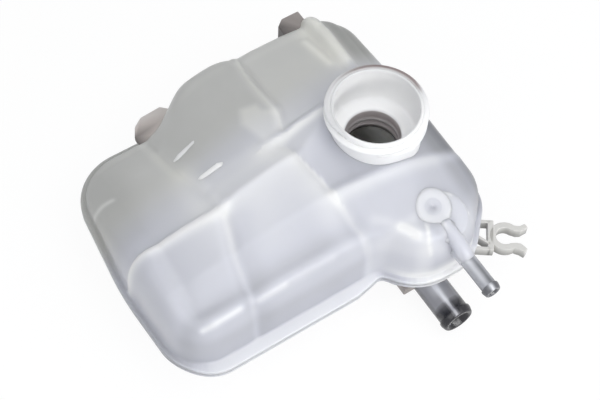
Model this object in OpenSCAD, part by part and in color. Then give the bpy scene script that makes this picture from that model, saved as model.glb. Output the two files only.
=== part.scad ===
// Coolant expansion tank for an engine bay: two injection-moulded half shells of milky
// polypropylene, hot-plate welded at a flange all round. The neck stands on the roof, a vent
// spigot and a large outlet spigot leave towards the front, and a snap-in clip holds a hose.
// X runs along the tank, Y to its back, Z up along the neck. The origin is the middle of the
// box round the tank, at the height of the flat floor.

/* [Outline of the wall at the weld] */
// Left wall, from the datum below the roof
left_x = -113; // [-116:0.5:-110]
// Right wall
right_x = 88; // [86:0.5:91]
// Straight front wall
front_y = -63.5; // [-66:0.5:-61]
// Front of the rounded bay under the neck
bay_y = -84; // [-86:0.5:-82]
// Back wall of the left panel
step_y = 80; // [78:0.5:82]
// Back wall of the other panels
back_y = 93; // [90:0.5:96]
// Fillet radius of the big outer corners
corner_r = 26; // [23:1:28]

/* [Shells] */
// Wall thickness of both mouldings
wall = 3; // [2.5:0.1:3.5]
// Thickness of each half of the weld flange
flange_t = 3; // [2.5:0.1:3.5]
// How far the flange stands out from the wall
flange_w = 3.5; // [3:0.5:5]
// How much more it stands out along the straight front
flange_more = 4.5; // [2:0.5:5]
// Depth of the lower shell below the weld
lower_h = 33; // [30:1:38]
// Inward draft of the lower wall over that depth
lower_draft = 5; // [4:0.5:7]
// How much more its front leans in
front_draft = 7; // [4:0.5:9]
// Edge radius round the floor
floor_r = 12; // [8:1:14]

/* [Filler neck] */
// Neck position from the datum, along X
neck_x = 44.4; // [42:0.2:47]
// Neck position from the datum, along Y
neck_y = -5.6; // [-8:0.2:-3]
// Height of the rim above the weld
neck_top = 70; // [68:0.5:73]
// Outer radius of the neck between the threads
neck_r = 26.2; // [25.5:0.1:27]
// Radius of the plain bore behind the rim
mouth_r = 24.4; // [23.8:0.1:24.6]
// Depth of that bore, down to its ledge
mouth_h = 27; // [25:0.5:29]
// Radius of the seal bore below the ledge
seal_r = 16.1; // [15.5:0.1:17]
// Length of the tube that carries the seal bore
seal_h = 17; // [14:0.5:18]

/* [Spigots] */
// Outer radius of the vent spigot
vent_r = 4.7; // [4.5:0.1:5]
// Bore radius of the vent spigot
vent_bore = 2.8; // [2.5:0.1:3]
// Height of the vent spigot above the weld
vent_z = 20; // [18:0.5:22]
// Outer radius of the outlet spigot
outlet_r = 9.4; // [9:0.1:10]
// Bore radius of the outlet spigot
outlet_bore = 7; // [6.5:0.1:7.4]
// Depth of the outlet axis below the weld
outlet_z = -20; // [-22:0.5:-18]

/* [Hose clip] */
// Radius of the hose that the clip holds
clip_r = 5.4; // [5:0.1:6]
// Thickness of the springy prongs
clip_t = 3.2; // [2.8:0.1:3.6]
// Height of the clip along the hose
clip_h = 7; // [6:0.5:8]

/* [Hidden] */
milky = [0.86, 0.88, 0.91];
shift = [7.77, 8, lower_h];

// Corner points of the wall outline, each [x, y, fillet radius], from the front left corner
// and on against the clock
corners = [
  [left_x, front_y, corner_r - 2],
  [12, front_y, 12],
  [28, bay_y, 18],
  [62, bay_y, corner_r],
  [right_x, -56, corner_r],
  [right_x + 3, 20, 200],
  [right_x - 2, back_y, corner_r + 2],
  [-30, back_y, 20],
  [-50, step_y, 10],
  [left_x + 3, step_y, corner_r],
  [left_x - 3, 0, 200]
];
arc_steps = 24;

function unit(v) = v / norm(v);
function lerp(a, b, t) = a + (b - a) * t;
function turned(v, a) = [v.x * cos(a) - v.y * sin(a), v.x * sin(a) + v.y * cos(a)];

// The fillet arc at corner b between its neighbours a and c
function fillet(a, b, c) =
  let (p = [b.x, b.y])
  let (u = unit([a.x, a.y] - p))
  let (w = unit([c.x, c.y] - p))
  let (half = acos(u * w) / 2)
  let (centre = p + unit(u + w) * b.z / sin(half))
  let (from = p + u * b.z / tan(half) - centre)
  let (side = sign(u.x * w.y - u.y * w.x))
  [for (i = [0:arc_steps]) centre + turned(from, -side * (180 - 2 * half) * i / arc_steps)];

last = len(corners) - 1;
fillets = [for (i = [0:last])
  fillet(corners[i == 0 ? last : i - 1], corners[i], corners[i == last ? 0 : i + 1])];

// Part of one fillet arc
function some(i, from, to) = [for (k = [from:to]) fillets[i][k]];

// The four sides run between the middles of the big corners
mid = arc_steps / 2;
front_side = concat(some(0, mid, arc_steps), fillets[1], fillets[2], fillets[3],
  some(4, 0, 0));
right_side = concat(fillets[4], fillets[5], some(6, 0, mid));
back_side = concat(some(6, mid, arc_steps), fillets[7], fillets[8], some(9, 0, mid));
left_side = concat(some(9, mid, arc_steps), fillets[10], some(0, 0, mid));

function flipped(list) = [for (i = [len(list) - 1:-1:0]) list[i]];
function by_y(list) = [for (p = list) [p.y, p.x]];
front_table = front_side;
back_table = flipped(back_side);
right_table = by_y(right_side);
left_table = by_y(flipped(left_side));

// Main slopes of the roof: its height at the crossings of four rows and five lines. Each
// entry is [x, y, height].
slopes = [
  [[-98, -48, 36], [-67.5, -51.5, 39], [3, -51.5, 39], [48, -71, 37], [76, -66, 27]],
  [[-95, -32, 41], [-65, -34, 50], [-1, -32, 53], [46, -35, 49], [78, -33, 31]],
  [[-95, -7, 44], [-57.5, -9, 57], [-5, -2, 58], [50, 27, 54], [78, 22, 34]],
  [[-93, 74, 9], [-58, 74, 12], [5, 78, 37.5], [60, 78, 37], [76, 78, 36]]
];
// How far the roof bulges up between two lines, on the same rows
crowns = [
  [1.5, 2, 2, 1],
  [2, 3, 1.5, 1],
  [2, 3, 1.5, 1],
  [2, 12, 3, 2]
];
// Panels that lie lower than the main slopes: their corners, how far, and the edge's width
pads = [
  [[[-6, -3], [-1.5, -31], [20, -33], [46, -35], [100, -34], [100, 24], [50, 27], [24, 18],
    [-2, 15], [-13, 8]], -1.5, 4],
  [[[-130, -3], [-95, -6], [-57.5, -8.5], [-57, 20], [-57, 110], [-130, 110]], -3, 5],
  [[[-3, 17], [24, 20], [58, 29], [58, 110], [10, 110], [8, 74], [6, 50], [6, 35]], -4, 5],
  [[[64, 26], [110, 24], [110, 110], [64, 110]], -3, 3]
];
// Ridges (above 0) and grooves (below 0): their points, sizes at those, and half width
lines = [
  [[[-69.4, -64], [-66, -36], [-57.5, -9]], [-1.4, -1.4, -1], 3.5],
  [[[6, -68], [-1.5, -32], [-5.5, -4]], [-1, -1.2, -0.8], 3.5],
  [[[-110, -7], [-57.5, -9], [-5, -2]], [0, 1, 1], 3],
  [[[-1, -32], [46, -35], [78, -33]], [1.6, 2, 1], 3.5],
  [[[-19, 12], [-2, 15], [24, 18]], [1.5, 1.8, 1.5], 3],
  [[[-58, 60], [-57.5, -9]], [2, 2], 3.5],
  [[[61, 92], [62.5, 71], [60, 45]], [3, 3, 1], 3.5],
  [[[49, 72], [50, 48]], [1.5, 1], 3]
];

// Distance from a plan point to a stretch between two points, and to a line of points
function to_stretch(p, a, b) =
  let (t = max(0, min(1, (p - a) * (b - a) / ((b - a) * (b - a)))))
  norm(p - a - t * (b - a));
function to_line(p, q) = min([for (k = [0:len(q) - 2]) to_stretch(p, q[k], q[k + 1])]);

// Distance to the edge of a polygon, above 0 inside it
function crosses(p, a, b) =
  (a.y > p.y) != (b.y > p.y) && p.x < (b.x - a.x) * (p.y - a.y) / (b.y - a.y) + a.x;
function to_edge(p, q) =
  let (ring = concat(q, [q[0]]))
  let (hits = [for (k = [0:len(q) - 1]) if (crosses(p, ring[k], ring[k + 1])) 1])
  (len(hits) % 2 == 1 ? 1 : -1) * to_line(p, ring);
function smooth(t) = let (c = max(0, min(1, t))) c * c * (3 - 2 * c);

// The place of a plan point between the rows or lines of the slopes: a whole part and the
// share to the next one
function share_in(marks, value) =
  let (n = len(marks) - 2)
  let (k = max([for (i = [0:n]) i == 0 || value > marks[i] ? i : 0]))
  k + max(0, min(1, (value - marks[k]) / (marks[k + 1] - marks[k])));
row_tables = [for (r = slopes) [for (c = r) [c.x, c.y]]];
line_tables = [for (i = [0:4]) [for (r = slopes) [r[i].y, r[i].x]]];
function ridge(p, one) =
  let (near = [for (k = [0:len(one[0]) - 2]) to_stretch(p, one[0][k], one[0][k + 1])])
  let (d = min(near))
  let (k = search(d, near)[0])
  let (a = one[0][k])
  let (b = one[0][k + 1])
  let (t = max(0, min(1, (p - a) * (b - a) / ((b - a) * (b - a)))))
  lerp(one[1][k], one[1][k + 1], t) * exp(-pow(d / one[2], 2));
function sum(list) = list * [for (i = list) 1];

// Height of the roof above the weld at a plan point
function height(p) =
  let (u = share_in([for (t = line_tables) lookup(p.y, t)], p.x))
  let (v = share_in([for (t = row_tables) lookup(p.x, t)], p.y))
  let (i = min(3, floor(u)))
  let (j = min(2, floor(v)))
  let (s = u - i)
  let (t = v - j)
  let (level = lerp(lerp(slopes[j][i].z, slopes[j][i + 1].z, s),
    lerp(slopes[j + 1][i].z, slopes[j + 1][i + 1].z, s), t))
  let (crown = lerp(crowns[j][i], crowns[j + 1][i], t) * (1 - pow(abs(2 * s - 1), 3)))
  level + crown + sum([for (a = pads) a[1] * smooth(to_edge(p, a[0]) / a[2] + 0.5)])
    + sum([for (a = lines) ridge(p, a)]);

// The net of flat facets that carries the roof follows the edges of the panels. Its lines
// run from a foot on the front wall to one on the back wall, and its rows from one on the
// left wall to one on the right wall.
front_feet = [front_side[0].x, -64, 6.5, 24, 48, front_side[len(front_side) - 1].x];
back_feet = [left_side[0].x, -58, 9, 34, 60, right_side[len(right_side) - 1].x];
left_feet = [front_side[0].y, -32, -7, 36, left_side[0].y];
right_feet = [right_side[0].y, -33, 22, 56, right_side[len(right_side) - 1].y];
across = [6, 7, 4, 4, 5];
along = [5, 5, 5, 5];
crossings = [
  [[-65, -34], [-1, -32], [22, -33.5], [46, -35]],
  [[-57.5, -9], [-8, 5], [24, 18], [50, 27]],
  [[-57.5, 38], [6, 46], [32, 52], [58, 56]]
];
function total(counts, n) = n == 0 ? 0 : counts[n - 1] + total(counts, n - 1);
nu = total(across, len(across));
nv = total(along, len(along));
round_count = 2 * (nu + nv);

// Steps that lie closer near the lines, so that ridges and grooves stay crisp. Towards the
// round corners they stay even.
function eased(t, first, final) =
  (first && t < 0.5) || (final && t > 0.5) ? t : t - 0.1 * sin(360 * t);

function stations(feet, counts) = [
  for (i = [0:len(counts) - 1])
    for (k = [0:counts[i] - 1])
      lerp(feet[i], feet[i + 1], eased(k / counts[i], i == 0, i == len(counts) - 1))
];

// The foot of the wall, once round against the clock
foot = concat(
  [for (x = stations(front_feet, across)) [x, lookup(x, front_table)]],
  [for (y = stations(right_feet, along)) [lookup(y, right_table), y]],
  [for (x = stations(flipped(back_feet), flipped(across))) [x, lookup(x, back_table)]],
  [for (y = stations(flipped(left_feet), flipped(along))) [lookup(y, left_table), y]]
);
function round_at(list, k) = list[(k + round_count) % round_count];
outward = [for (k = [0:round_count - 1])
  let (before = foot[k] - round_at(foot, k - 1))
  let (after = round_at(foot, k + 1) - foot[k])
  let (run = unit(unit(before) * norm(after) + unit(after) * norm(before)))
  [run.y, -run.x]];

// How far the rounded shoulder reaches in. It is wider behind the crest on the left, and at
// the back.
shoulder_in = [for (k = [0:round_count - 1])
  let (n = outward[k])
  let (more = lerp(2, 8, smooth((foot[k].y + 18) / 20)))
  12 + more * pow(max(0, -n.x), 2) + 3 * pow(max(0, n.y), 2)];

// A closed line inside the foot by in_by, or outside it where that is negative
function inset(in_by) = [for (k = [0:round_count - 1]) foot[k] - outward[k] * in_by[k]];
function same(d) = [for (k = [0:round_count - 1]) d];
shoulder = inset(shoulder_in);
function front_share(p, n) = pow(max(0, -n.y), 4) * max(0, min(1, (14 - p.x) / 10));
flange_edge = inset([for (k = [0:round_count - 1])
  -flange_w - flange_more * front_share(foot[k], outward[k])]);

// Which line or row a step of the grid belongs to
line_at = [for (i = [0:len(across)]) total(across, i)];
row_at = [for (j = [0:len(along)]) total(along, j)];
function cell_of(marks, k) = k >= marks[len(marks) - 1] ? len(marks) - 2 :
  max([for (i = [0:len(marks) - 2]) marks[i] <= k ? i : 0]);

// The point of the shoulder that ends a line or row of the grid
function edge(line, k, v) =
  v == 0 ? line[k] :
  v == nv ? line[nu + nv + nu - k] :
  k == 0 ? line[(2 * nu + nv + nv - v) % round_count] :
  line[nu + v];
function on_edge(u, v) = u == 0 || v == 0 || u == nu || v == nv;

// A crossing of two lines, on the given closed line or inside it
function crossing(line, i, j) =
  on_edge(line_at[i], row_at[j]) ? edge(line, line_at[i], row_at[j]) :
  crossings[j - 1][i - 1];

// A point of the plan grid that fills a closed line. Each panel is blended from its own
// four edges.
function plan(line, u, v) =
  on_edge(u, v) ? edge(line, u, v) :
  let (i = cell_of(line_at, u))
  let (j = cell_of(row_at, v))
  let (last_i = len(across) - 1)
  let (last_j = len(along) - 1)
  let (s = eased((u - line_at[i]) / across[i], i == 0, i == last_i))
  let (t = eased((v - row_at[j]) / along[j], j == 0, j == last_j))
  let (a = crossing(line, i, j))
  let (b = crossing(line, i + 1, j))
  let (c = crossing(line, i, j + 1))
  let (d = crossing(line, i + 1, j + 1))
  let (near = j == 0 ? edge(line, u, 0) : lerp(a, b, s))
  let (far = j == last_j ? edge(line, u, nv) : lerp(c, d, s))
  let (west = i == 0 ? edge(line, 0, v) : lerp(a, c, t))
  let (east = i == last_i ? edge(line, nu, v) : lerp(b, d, t))
  lerp(near, far, t) + lerp(west, east, s) - lerp(lerp(a, b, s), lerp(c, d, s), t)
    + corner_push(u, v);

// The grid's corners lie in the middle of round corners, so the steps next to them are
// pushed towards the middle of the roof, fading out over a few steps
push_by = 4;
function corner_push(u, v) =
  let (near_u = min(u, nu - u))
  let (near_v = min(v, nv - v))
  let (dir = [u < nu / 2 ? 1 : -1, v < nv / 2 ? 1 : -1])
  near_u > across[0] - 1 || near_v > along[0] - 1 ? [0, 0] :
  dir * push_by * pow(1 - near_u / across[0], 2) * pow(1 - near_v / along[0], 2);

// Rings up the wall: share of the height, and the rounding that brings them inwards
wall_steps = [0.3, 0.55, 0.75, 0.89, 0.97];
function rounding(h) = 1 - pow(1 - pow(h, 2.6), 1 / 2.6);

function lifted(line, z) = [for (p = line) [p.x, p.y, z]];
function wall_ring(h, foot_z, thin) =
  let (line = inset([for (d = shoulder_in) thin + d * rounding(h)]))
  [for (k = [0:round_count - 1])
    [line[k].x, line[k].y, lerp(foot_z, height(line[k]) - thin, h)]];

// The grid's point at a step of the closed line round it
function grid_index(k) =
  k < nu ? k :
  k < nu + nv ? (k - nu) * (nu + 1) + nu :
  k < 2 * nu + nv ? nv * (nu + 1) + 2 * nu + nv - k :
  (2 * (nu + nv) - k) * (nu + 1);

// Faces between two closed lines of points, and over a grid
function band(a, b) = [for (k = [0:round_count - 1])
  let (n = (k + 1) % round_count)
  each [[a + k, b + k, b + n], [a + k, b + n, a + n]]];
function band_to_grid(a, g) = [for (k = [0:round_count - 1])
  let (n = (k + 1) % round_count)
  each [[a + k, g + grid_index(k), g + grid_index(n)], [a + k, g + grid_index(n), a + n]]];
function net(g) = [for (v = [0:nv - 1])
  for (u = [0:nu - 1])
    let (a = g + v * (nu + 1) + u)
    each [[a, a + nu + 1, a + nu + 2], [a, a + nu + 2, a + 1]]];
function inside_out(faces) = [for (f = faces) [f[0], f[2], f[1]]];

// A skin of closed lines, one after the other, that a grid closes
function skin_faces(rings, at) = [
  each [for (r = [0:rings - 2]) each band(at + r * round_count, at + (r + 1) * round_count)],
  each band_to_grid(at + (rings - 1) * round_count, at + rings * round_count),
  each net(at + rings * round_count)
];

// A half shell: its outer and inner skins, joined round the weld. The skins are lists of
// closed lines with a grid of points behind them.
module half_shell(outer_rings, outer_grid, inner_rings, inner_grid) {
  outer = concat([for (r = outer_rings) each r], outer_grid);
  inner = concat([for (r = inner_rings) each r], inner_grid);
  at = len(outer);
  faces = concat(
    skin_faces(len(outer_rings), 0),
    inside_out(skin_faces(len(inner_rings), at)),
    inside_out(band(0, at))
  );
  polyhedron(points = concat(outer, inner), faces = faces);
}

function roof_grid(thin) =
  let (line = inset(shoulder_in))
  [for (v = [0:nv]) for (u = [0:nu])
    let (p = plan(line, u, v))
    [p.x, p.y, height(p) - thin]];

module upper_skin() {
  outer_rings = concat(
    [lifted(flange_edge, 0), lifted(flange_edge, flange_t), lifted(foot, flange_t)],
    [for (h = wall_steps) wall_ring(h, flange_t, 0)]
  );
  inner_rings = concat(
    [lifted(inset(same(wall)), 0)],
    [for (h = [0.5, 0.85]) wall_ring(h, 0, wall)]
  );
  half_shell(outer_rings, roof_grid(0), inner_rings, roof_grid(wall));
}

// Below the weld the wall leans in by the draft and ends in a rounded edge and a flat floor
draft = [for (n = outward) lower_draft + front_draft * pow(max(0, -n.y), 2)];
function floor_ring(a, thin) =
  let (r = floor_r - thin)
  lifted(inset([for (d = draft) thin + d + r * (1 - cos(a))]),
    -(lower_h - floor_r) - r * sin(a));
function floor_grid(thin) =
  let (line = inset([for (d = draft) d + floor_r]))
  [for (v = [0:nv]) for (u = [0:nu])
    let (p = plan(line, u, v))
    [p.x, p.y, -lower_h + thin]];

module lower_skin() {
  outer_rings = concat(
    [lifted(flange_edge, 0), lifted(flange_edge, -flange_t), lifted(foot, -flange_t)],
    [for (a = [0, 25, 50, 72]) floor_ring(a, 0)]
  );
  inner_rings = concat(
    [lifted(inset(same(wall)), 0)],
    [for (a = [0, 45]) floor_ring(a, wall)]
  );
  mirror([0, 0, 1])
    half_shell(
      [for (r = outer_rings) [for (p = r) [p.x, p.y, -p.z]]],
      [for (p = floor_grid(0)) [p.x, p.y, -p.z]],
      [for (r = inner_rings) [for (p = r) [p.x, p.y, -p.z]]],
      [for (p = floor_grid(wall)) [p.x, p.y, -p.z]]
    );
}

// The neck as a solid turned piece, from its rim down to the tube inside the tank
ledge_z = neck_top - mouth_h;
tube_end = ledge_z - seal_h;
module neck_solid() {
  translate([neck_x, neck_y, 0])
    rotate_extrude($fn = 96)
      polygon([
        [0, tube_end],
        [seal_r + wall, tube_end],
        [seal_r + wall, ledge_z - wall],
        [mouth_r + wall, ledge_z - wall],
        [mouth_r + wall, ledge_z + 2],
        [neck_r + 2.5, ledge_z + 4],
        [neck_r + 2.5, neck_top - 12],
        [neck_r, neck_top - 10],
        [neck_r, neck_top],
        [0, neck_top]
      ]);
}

// What is cut out of the neck and the roof: the deep mouth down to its ledge, and the seal
// bore below
module neck_hole() {
  translate([neck_x, neck_y, 0])
    rotate_extrude($fn = 96)
      polygon([
        [0, tube_end - 1],
        [seal_r, tube_end - 1],
        [seal_r, ledge_z],
        [mouth_r, ledge_z],
        [mouth_r, neck_top + 1],
        [0, neck_top + 1]
      ]);
}

// A spigot along -Y on a wider collar, drawn from its root at the origin
module spigot(r, length, collar_l) {
  rotate([90, 0, 0])
    rotate_extrude($fn = 64)
      polygon([
        [0, 0],
        [r + 1.2, 0],
        [r + 1.2, collar_l],
        [r, collar_l],
        [r, length - 1],
        [r - 0.8, length],
        [0, length]
      ]);
}
module spigot_bore(r, length, deep) {
  rotate([90, 0, 0])
    translate([0, 0, -deep])
      cylinder(r = r, h = length + deep + 1, $fn = 64);
}

vent_at = [51.5, -72, vent_z];
vent_l = 44;
vent_collar = 18;
outlet_at = [41, -64, outlet_z];
outlet_l = 43;
outlet_collar = 20;

// A strip of even width along a line of plan points, extruded up by h
function left_of(a, b) = turned(unit(b - a), 90);
function strip_side(path, d) = [for (i = [0:len(path) - 1])
  let (a = path[max(0, i - 1)])
  let (b = path[min(len(path) - 1, i + 1)])
  path[i] + left_of(a, b) * d];
module strip(path, t, h) {
  linear_extrude(h)
    polygon(concat(strip_side(path, t / 2), flipped(strip_side(path, -t / 2))));
}

// Low round dome over the vent chamber, with a boss off its middle. Both lie square to the
// roof, which falls towards the front there.
dome_at = [49.5, -69, 37.4];
dome_tilt = 18;
dome_r = 15;
module vent_dome() {
  translate(dome_at)
    rotate([dome_tilt, 0, 0]) {
      rotate_extrude($fn = 64)
        polygon([
          [0, -9], [dome_r - 3, -9], [dome_r, -5], [dome_r, -1.5], [dome_r - 1.5, 0.6],
          [dome_r - 5, 1.5], [0, 1.5]
        ]);
      translate([-3.5, 7.4, 0])
        rotate_extrude($fn = 48)
          polygon([
            [0, -2], [10.5, -2], [10.5, 1.8], [9, 3], [6, 3], [5, 2.2], [0, 2.2]
          ]);
    }
}

// Duct from the dome down to the collar of the vent spigot
module vent_duct() {
  from = dome_at + [-2, -1, -3];
  to = vent_at + [0, -16, 0];
  run = to - from;
  translate(from)
    rotate([0, acos(run.z / norm(run)), atan2(run.y, run.x)])
      cylinder(r = 5, h = norm(run), $fn = 48);
}

// Gusset ribs beside the ridge between the two left back panels
gusset_l = 22;
module gusset(at, a) {
  translate(at)
    rotate([0, 0, a])
      rotate([90, 0, 0])
        translate([0, 0, -1.2])
          linear_extrude(2.4)
            polygon([[0, -4], [gusset_l, 6], [gusset_l, 11], [gusset_l - 7, 13], [3, 5], [0, 1]]);
}

// Catch that stands out from the back wall, with a slope on its left
catch_at = [45, 82, 18];
module back_catch() {
  translate(catch_at)
    linear_extrude(12)
      polygon([[0, 0], [17, 0], [17, 18], [5, 18], [0, 14]]);
}

// Ear at the weld, in the corner between the left panel and the next
module step_ear() {
  linear_extrude(4)
    polygon([
      [-62, step_y - 1], [-62, step_y + 7], [-58, step_y + 14], [-52, step_y + 18],
      [-38, back_y + 6], [-30, back_y - 2], [-48, step_y + 1]
    ]);
}

// Snap-in clip for a small hose, on an open truss at the front right corner of the weld.
// The hose runs along Z, and the mouth opens away from the tank.
clip_at = [88.5, -83.5];
clip_turn = -36;
clip_mouth = 55;
module hose_clip() {
  mid_r = clip_r + clip_t / 2;
  ring = [for (a = [clip_mouth:10:360 - clip_mouth]) mid_r * [cos(a), sin(a)]];
  lip = [
    mid_r * [cos(clip_mouth), sin(clip_mouth)],
    [clip_r + 1.2, clip_r - 0.6],
    [clip_r + 4, clip_r - 0.4],
    [clip_r + 7.5, clip_r + 2.4]
  ];
  translate([clip_at.x, clip_at.y, -clip_h])
    rotate([0, 0, clip_turn]) {
      difference() {
        cylinder(r = clip_r + clip_t, h = clip_h, $fn = 64);
        translate([0, 0, -1])
          cylinder(r = clip_r, h = clip_h + 2, $fn = 64);
        translate([0, 0, -1])
          linear_extrude(clip_h + 2)
            polygon([[0, 0], 20 * [cos(clip_mouth), sin(clip_mouth)],
              20 * [cos(clip_mouth), -sin(clip_mouth)]]);
      }
      for (m = [0, 1])
        mirror([0, m, 0])
          strip(lip, clip_t - 0.4, clip_h);
      translate([-clip_r - clip_t - 1.5, -10, 0])
        cube([3.5, 20, clip_h]);
      for (y = [-10, 8])
        translate([-clip_r - clip_t - 11, y, 0])
          cube([11, 2, clip_h]);
      translate([-clip_r - clip_t - 11, 0, 0])
        rotate([0, 0, -32])
          cube([13, 1.6, clip_h]);
    }
}

// Small key beside the outlet spigot that turns its hose the right way round
module outlet_key() {
  translate(outlet_at + [-17, -12, -2])
    cube([9, 14, 6]);
}

module upper_shell() {
  color(milky)
    translate(shift)
      difference() {
        union() {
          upper_skin();
          neck_solid();
          vent_dome();
          vent_duct();
          translate(vent_at)
            spigot(vent_r, vent_l, vent_collar);
          gusset([-60, 45.5, 27.5], 0);
          gusset([-59, 19, 40.5], -6);
          back_catch();
          step_ear();
        }
        neck_hole();
        translate(vent_at)
          spigot_bore(vent_bore, vent_l, 4);
      }
}

module lower_shell() {
  color(milky)
    translate(shift)
      difference() {
        union() {
          lower_skin();
          translate(outlet_at)
            spigot(outlet_r, outlet_l, outlet_collar);
          outlet_key();
          hose_clip();
        }
        translate(outlet_at)
          spigot_bore(outlet_bore, outlet_l, 4);
      }
}

upper_shell();
lower_shell();
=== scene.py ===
# %% [markdown]
# # Coolant expansion tank
#
# A milky plastic tank from an engine bay. Two half shells are welded at a flange all round.
# The roof is a group of raised and sunk panels. A screw neck stands on it, a small vent
# spigot and a large outlet spigot leave at the front, and a snap-in clip sits at the right.
# The lesson builds the fine surfaces over the measured model, in the same frame.
#
# Work is in millimetres from a datum on the weld plane, because heights above and below
# the weld are then easy to read. One shift carries every point into the frame.

# %% Frame and units
import math

import bmesh
import bpy
import numpy as np
from mathutils import Matrix, Vector
from mathutils.geometry import delaunay_2d_cdt


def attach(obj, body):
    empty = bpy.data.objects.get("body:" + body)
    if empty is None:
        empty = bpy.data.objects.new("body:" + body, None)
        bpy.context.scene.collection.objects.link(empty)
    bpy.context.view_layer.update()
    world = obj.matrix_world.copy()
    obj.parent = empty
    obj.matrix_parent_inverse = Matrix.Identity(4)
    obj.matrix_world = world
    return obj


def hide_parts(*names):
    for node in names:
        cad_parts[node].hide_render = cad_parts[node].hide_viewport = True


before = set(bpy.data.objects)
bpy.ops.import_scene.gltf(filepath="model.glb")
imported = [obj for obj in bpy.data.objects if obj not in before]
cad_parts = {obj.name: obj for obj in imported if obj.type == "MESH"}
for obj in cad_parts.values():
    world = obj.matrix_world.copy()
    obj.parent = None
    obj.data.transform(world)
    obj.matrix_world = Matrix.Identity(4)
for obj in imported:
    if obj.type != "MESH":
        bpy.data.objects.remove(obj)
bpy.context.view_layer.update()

MM = 0.001
LOWER_H = 33.0
SHIFT = np.array([7.77, 8.0, LOWER_H])
WALL = 3.0
FLANGE_T = 3.0

# %% [markdown]
# ## A mesh that rides on the tank
#
# Nothing on this tank moves, so each piece hangs on the one node called root. A piece could
# be modelled by hand in edit mode, but a list of points and faces keeps every measure in
# sight, and one helper turns it into an object.

# %% Mesh helper
def add_mesh(name, points, faces, material=None, smooth=True):
    """A mesh from datum points in millimetres that rides on the tank."""
    mesh = bpy.data.meshes.new(name)
    placed = (np.asarray(points, float) + SHIFT) * MM
    mesh.from_pydata([tuple(p) for p in placed], [], [tuple(f) for f in faces])
    mesh.validate()
    if smooth:
        mesh.shade_smooth()
    obj = bpy.data.objects.new(name, mesh)
    bpy.context.scene.collection.objects.link(obj)
    if material:
        mesh.materials.append(material)
    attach(obj, "root")
    return obj


print("datum in the frame", SHIFT * MM)

# %% [markdown]
# ## Plastic
#
# Natural polypropylene is milky because light scatters inside it. A plain white paint would
# look like chalk, and real glass-like transmission would show an inside that the eye never
# resolves. Subsurface scattering gives the soft look with neither fault.

# %% Plain plastic
PLASTIC_IOR = 1.49


def plastic(name, color, scatter, depth_mm, rough):
    """A plastic that scatters a share of its light to a depth in millimetres."""
    mat = bpy.data.materials.new(name)
    mat.use_nodes = True
    node = mat.node_tree.nodes["Principled BSDF"]
    node.inputs["Base Color"].default_value = (*color, 1)
    node.inputs["Roughness"].default_value = rough
    node.inputs["IOR"].default_value = PLASTIC_IOR
    node.inputs["Subsurface Weight"].default_value = scatter
    node.inputs["Subsurface Radius"].default_value = (1.0, 1.0, 1.05)
    node.inputs["Subsurface Scale"].default_value = depth_mm * MM
    return mat


def maths(tree, operation, *values):
    """A maths node. Each value is a number or the output of another node."""
    node = tree.nodes.new("ShaderNodeMath")
    node.operation = operation
    for socket, value in zip(node.inputs, values):
        if isinstance(value, (int, float)):
            socket.default_value = value
        else:
            tree.links.new(value, socket)
    return node.outputs["Value"]


milky = plastic("milky_polypropylene", (0.62, 0.63, 0.69), scatter=0.7, depth_mm=6.0, rough=0.34)
neck_white = plastic("neck_white", (0.80, 0.80, 0.81), scatter=0.4, depth_mm=2.5, rough=0.5)
smoky = plastic("smoky_polypropylene", (0.22, 0.22, 0.24), scatter=0.3, depth_mm=3.0, rough=0.22)
pale_smoke = plastic("pale_smoky_polypropylene", (0.42, 0.43, 0.46), scatter=0.4, depth_mm=3.0, rough=0.22)
ear_pink = plastic("stained_ear", (0.55, 0.50, 0.475), scatter=0.4, depth_mm=3.0, rough=0.45)
clip_white = plastic("clip_white", (0.68, 0.67, 0.64), scatter=0.3, depth_mm=1.5, rough=0.4)
print("plastics", [mat.name for mat in (milky, neck_white, smoky, pale_smoke, ear_pink, clip_white)])

# %% [markdown]
# ## Tone and age
#
# Milky walls look lighter over a rib and darker over deep space, and an old tank yellows
# in places. Light alone would need every hidden rib. So each vertex stores a tone from -1
# to 1 and an age from 0 to 1, and the plastic reads both. The tone also carries painted
# light and painted shade: highlights, lit crests and shaded slopes.

# %% Tone and age nodes
CLOUD_SCALE = 45
CLOUD_DETAIL = 3


def cloudy_tone(tree, mottle):
    """The tone of each vertex, made uneven by a soft noise."""
    tone = tree.nodes.new("ShaderNodeAttribute")
    tone.attribute_name = "tone"
    place = tree.nodes.new("ShaderNodeTexCoord")
    cloud = tree.nodes.new("ShaderNodeTexNoise")
    cloud.inputs["Scale"].default_value = CLOUD_SCALE
    cloud.inputs["Detail"].default_value = CLOUD_DETAIL
    tree.links.new(place.outputs["Object"], cloud.inputs["Vector"])
    uneven = maths(tree, "MULTIPLY_ADD", cloud.outputs["Fac"], mottle, tone.outputs["Fac"])
    return maths(tree, "SUBTRACT", uneven, mottle / 2)


def yellowed(tree, color, tint):
    """Multiplies a colour by a tint, as far as the age of each vertex says."""
    age = tree.nodes.new("ShaderNodeAttribute")
    age.attribute_name = "age"
    mix = tree.nodes.new("ShaderNodeMix")
    mix.data_type = "RGBA"
    mix.blend_type = "MULTIPLY"
    factor, base, second, result = mix.inputs[0], mix.inputs[6], mix.inputs[7], mix.outputs[2]
    second.default_value = (*tint, 1)
    tree.links.new(age.outputs["Fac"], factor)
    tree.links.new(color, base)
    return result


print("cloud scale", CLOUD_SCALE, "detail", CLOUD_DETAIL)

# %% [markdown]
# ## From dark to light
#
# Each plastic has its own dark and its own light, because a smoky spigot goes nearly black
# where the milky roof only turns grey. A mix of two colours would lose the plain one. So a
# ramp with three stops leads from dark over the plain colour to light.

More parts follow.
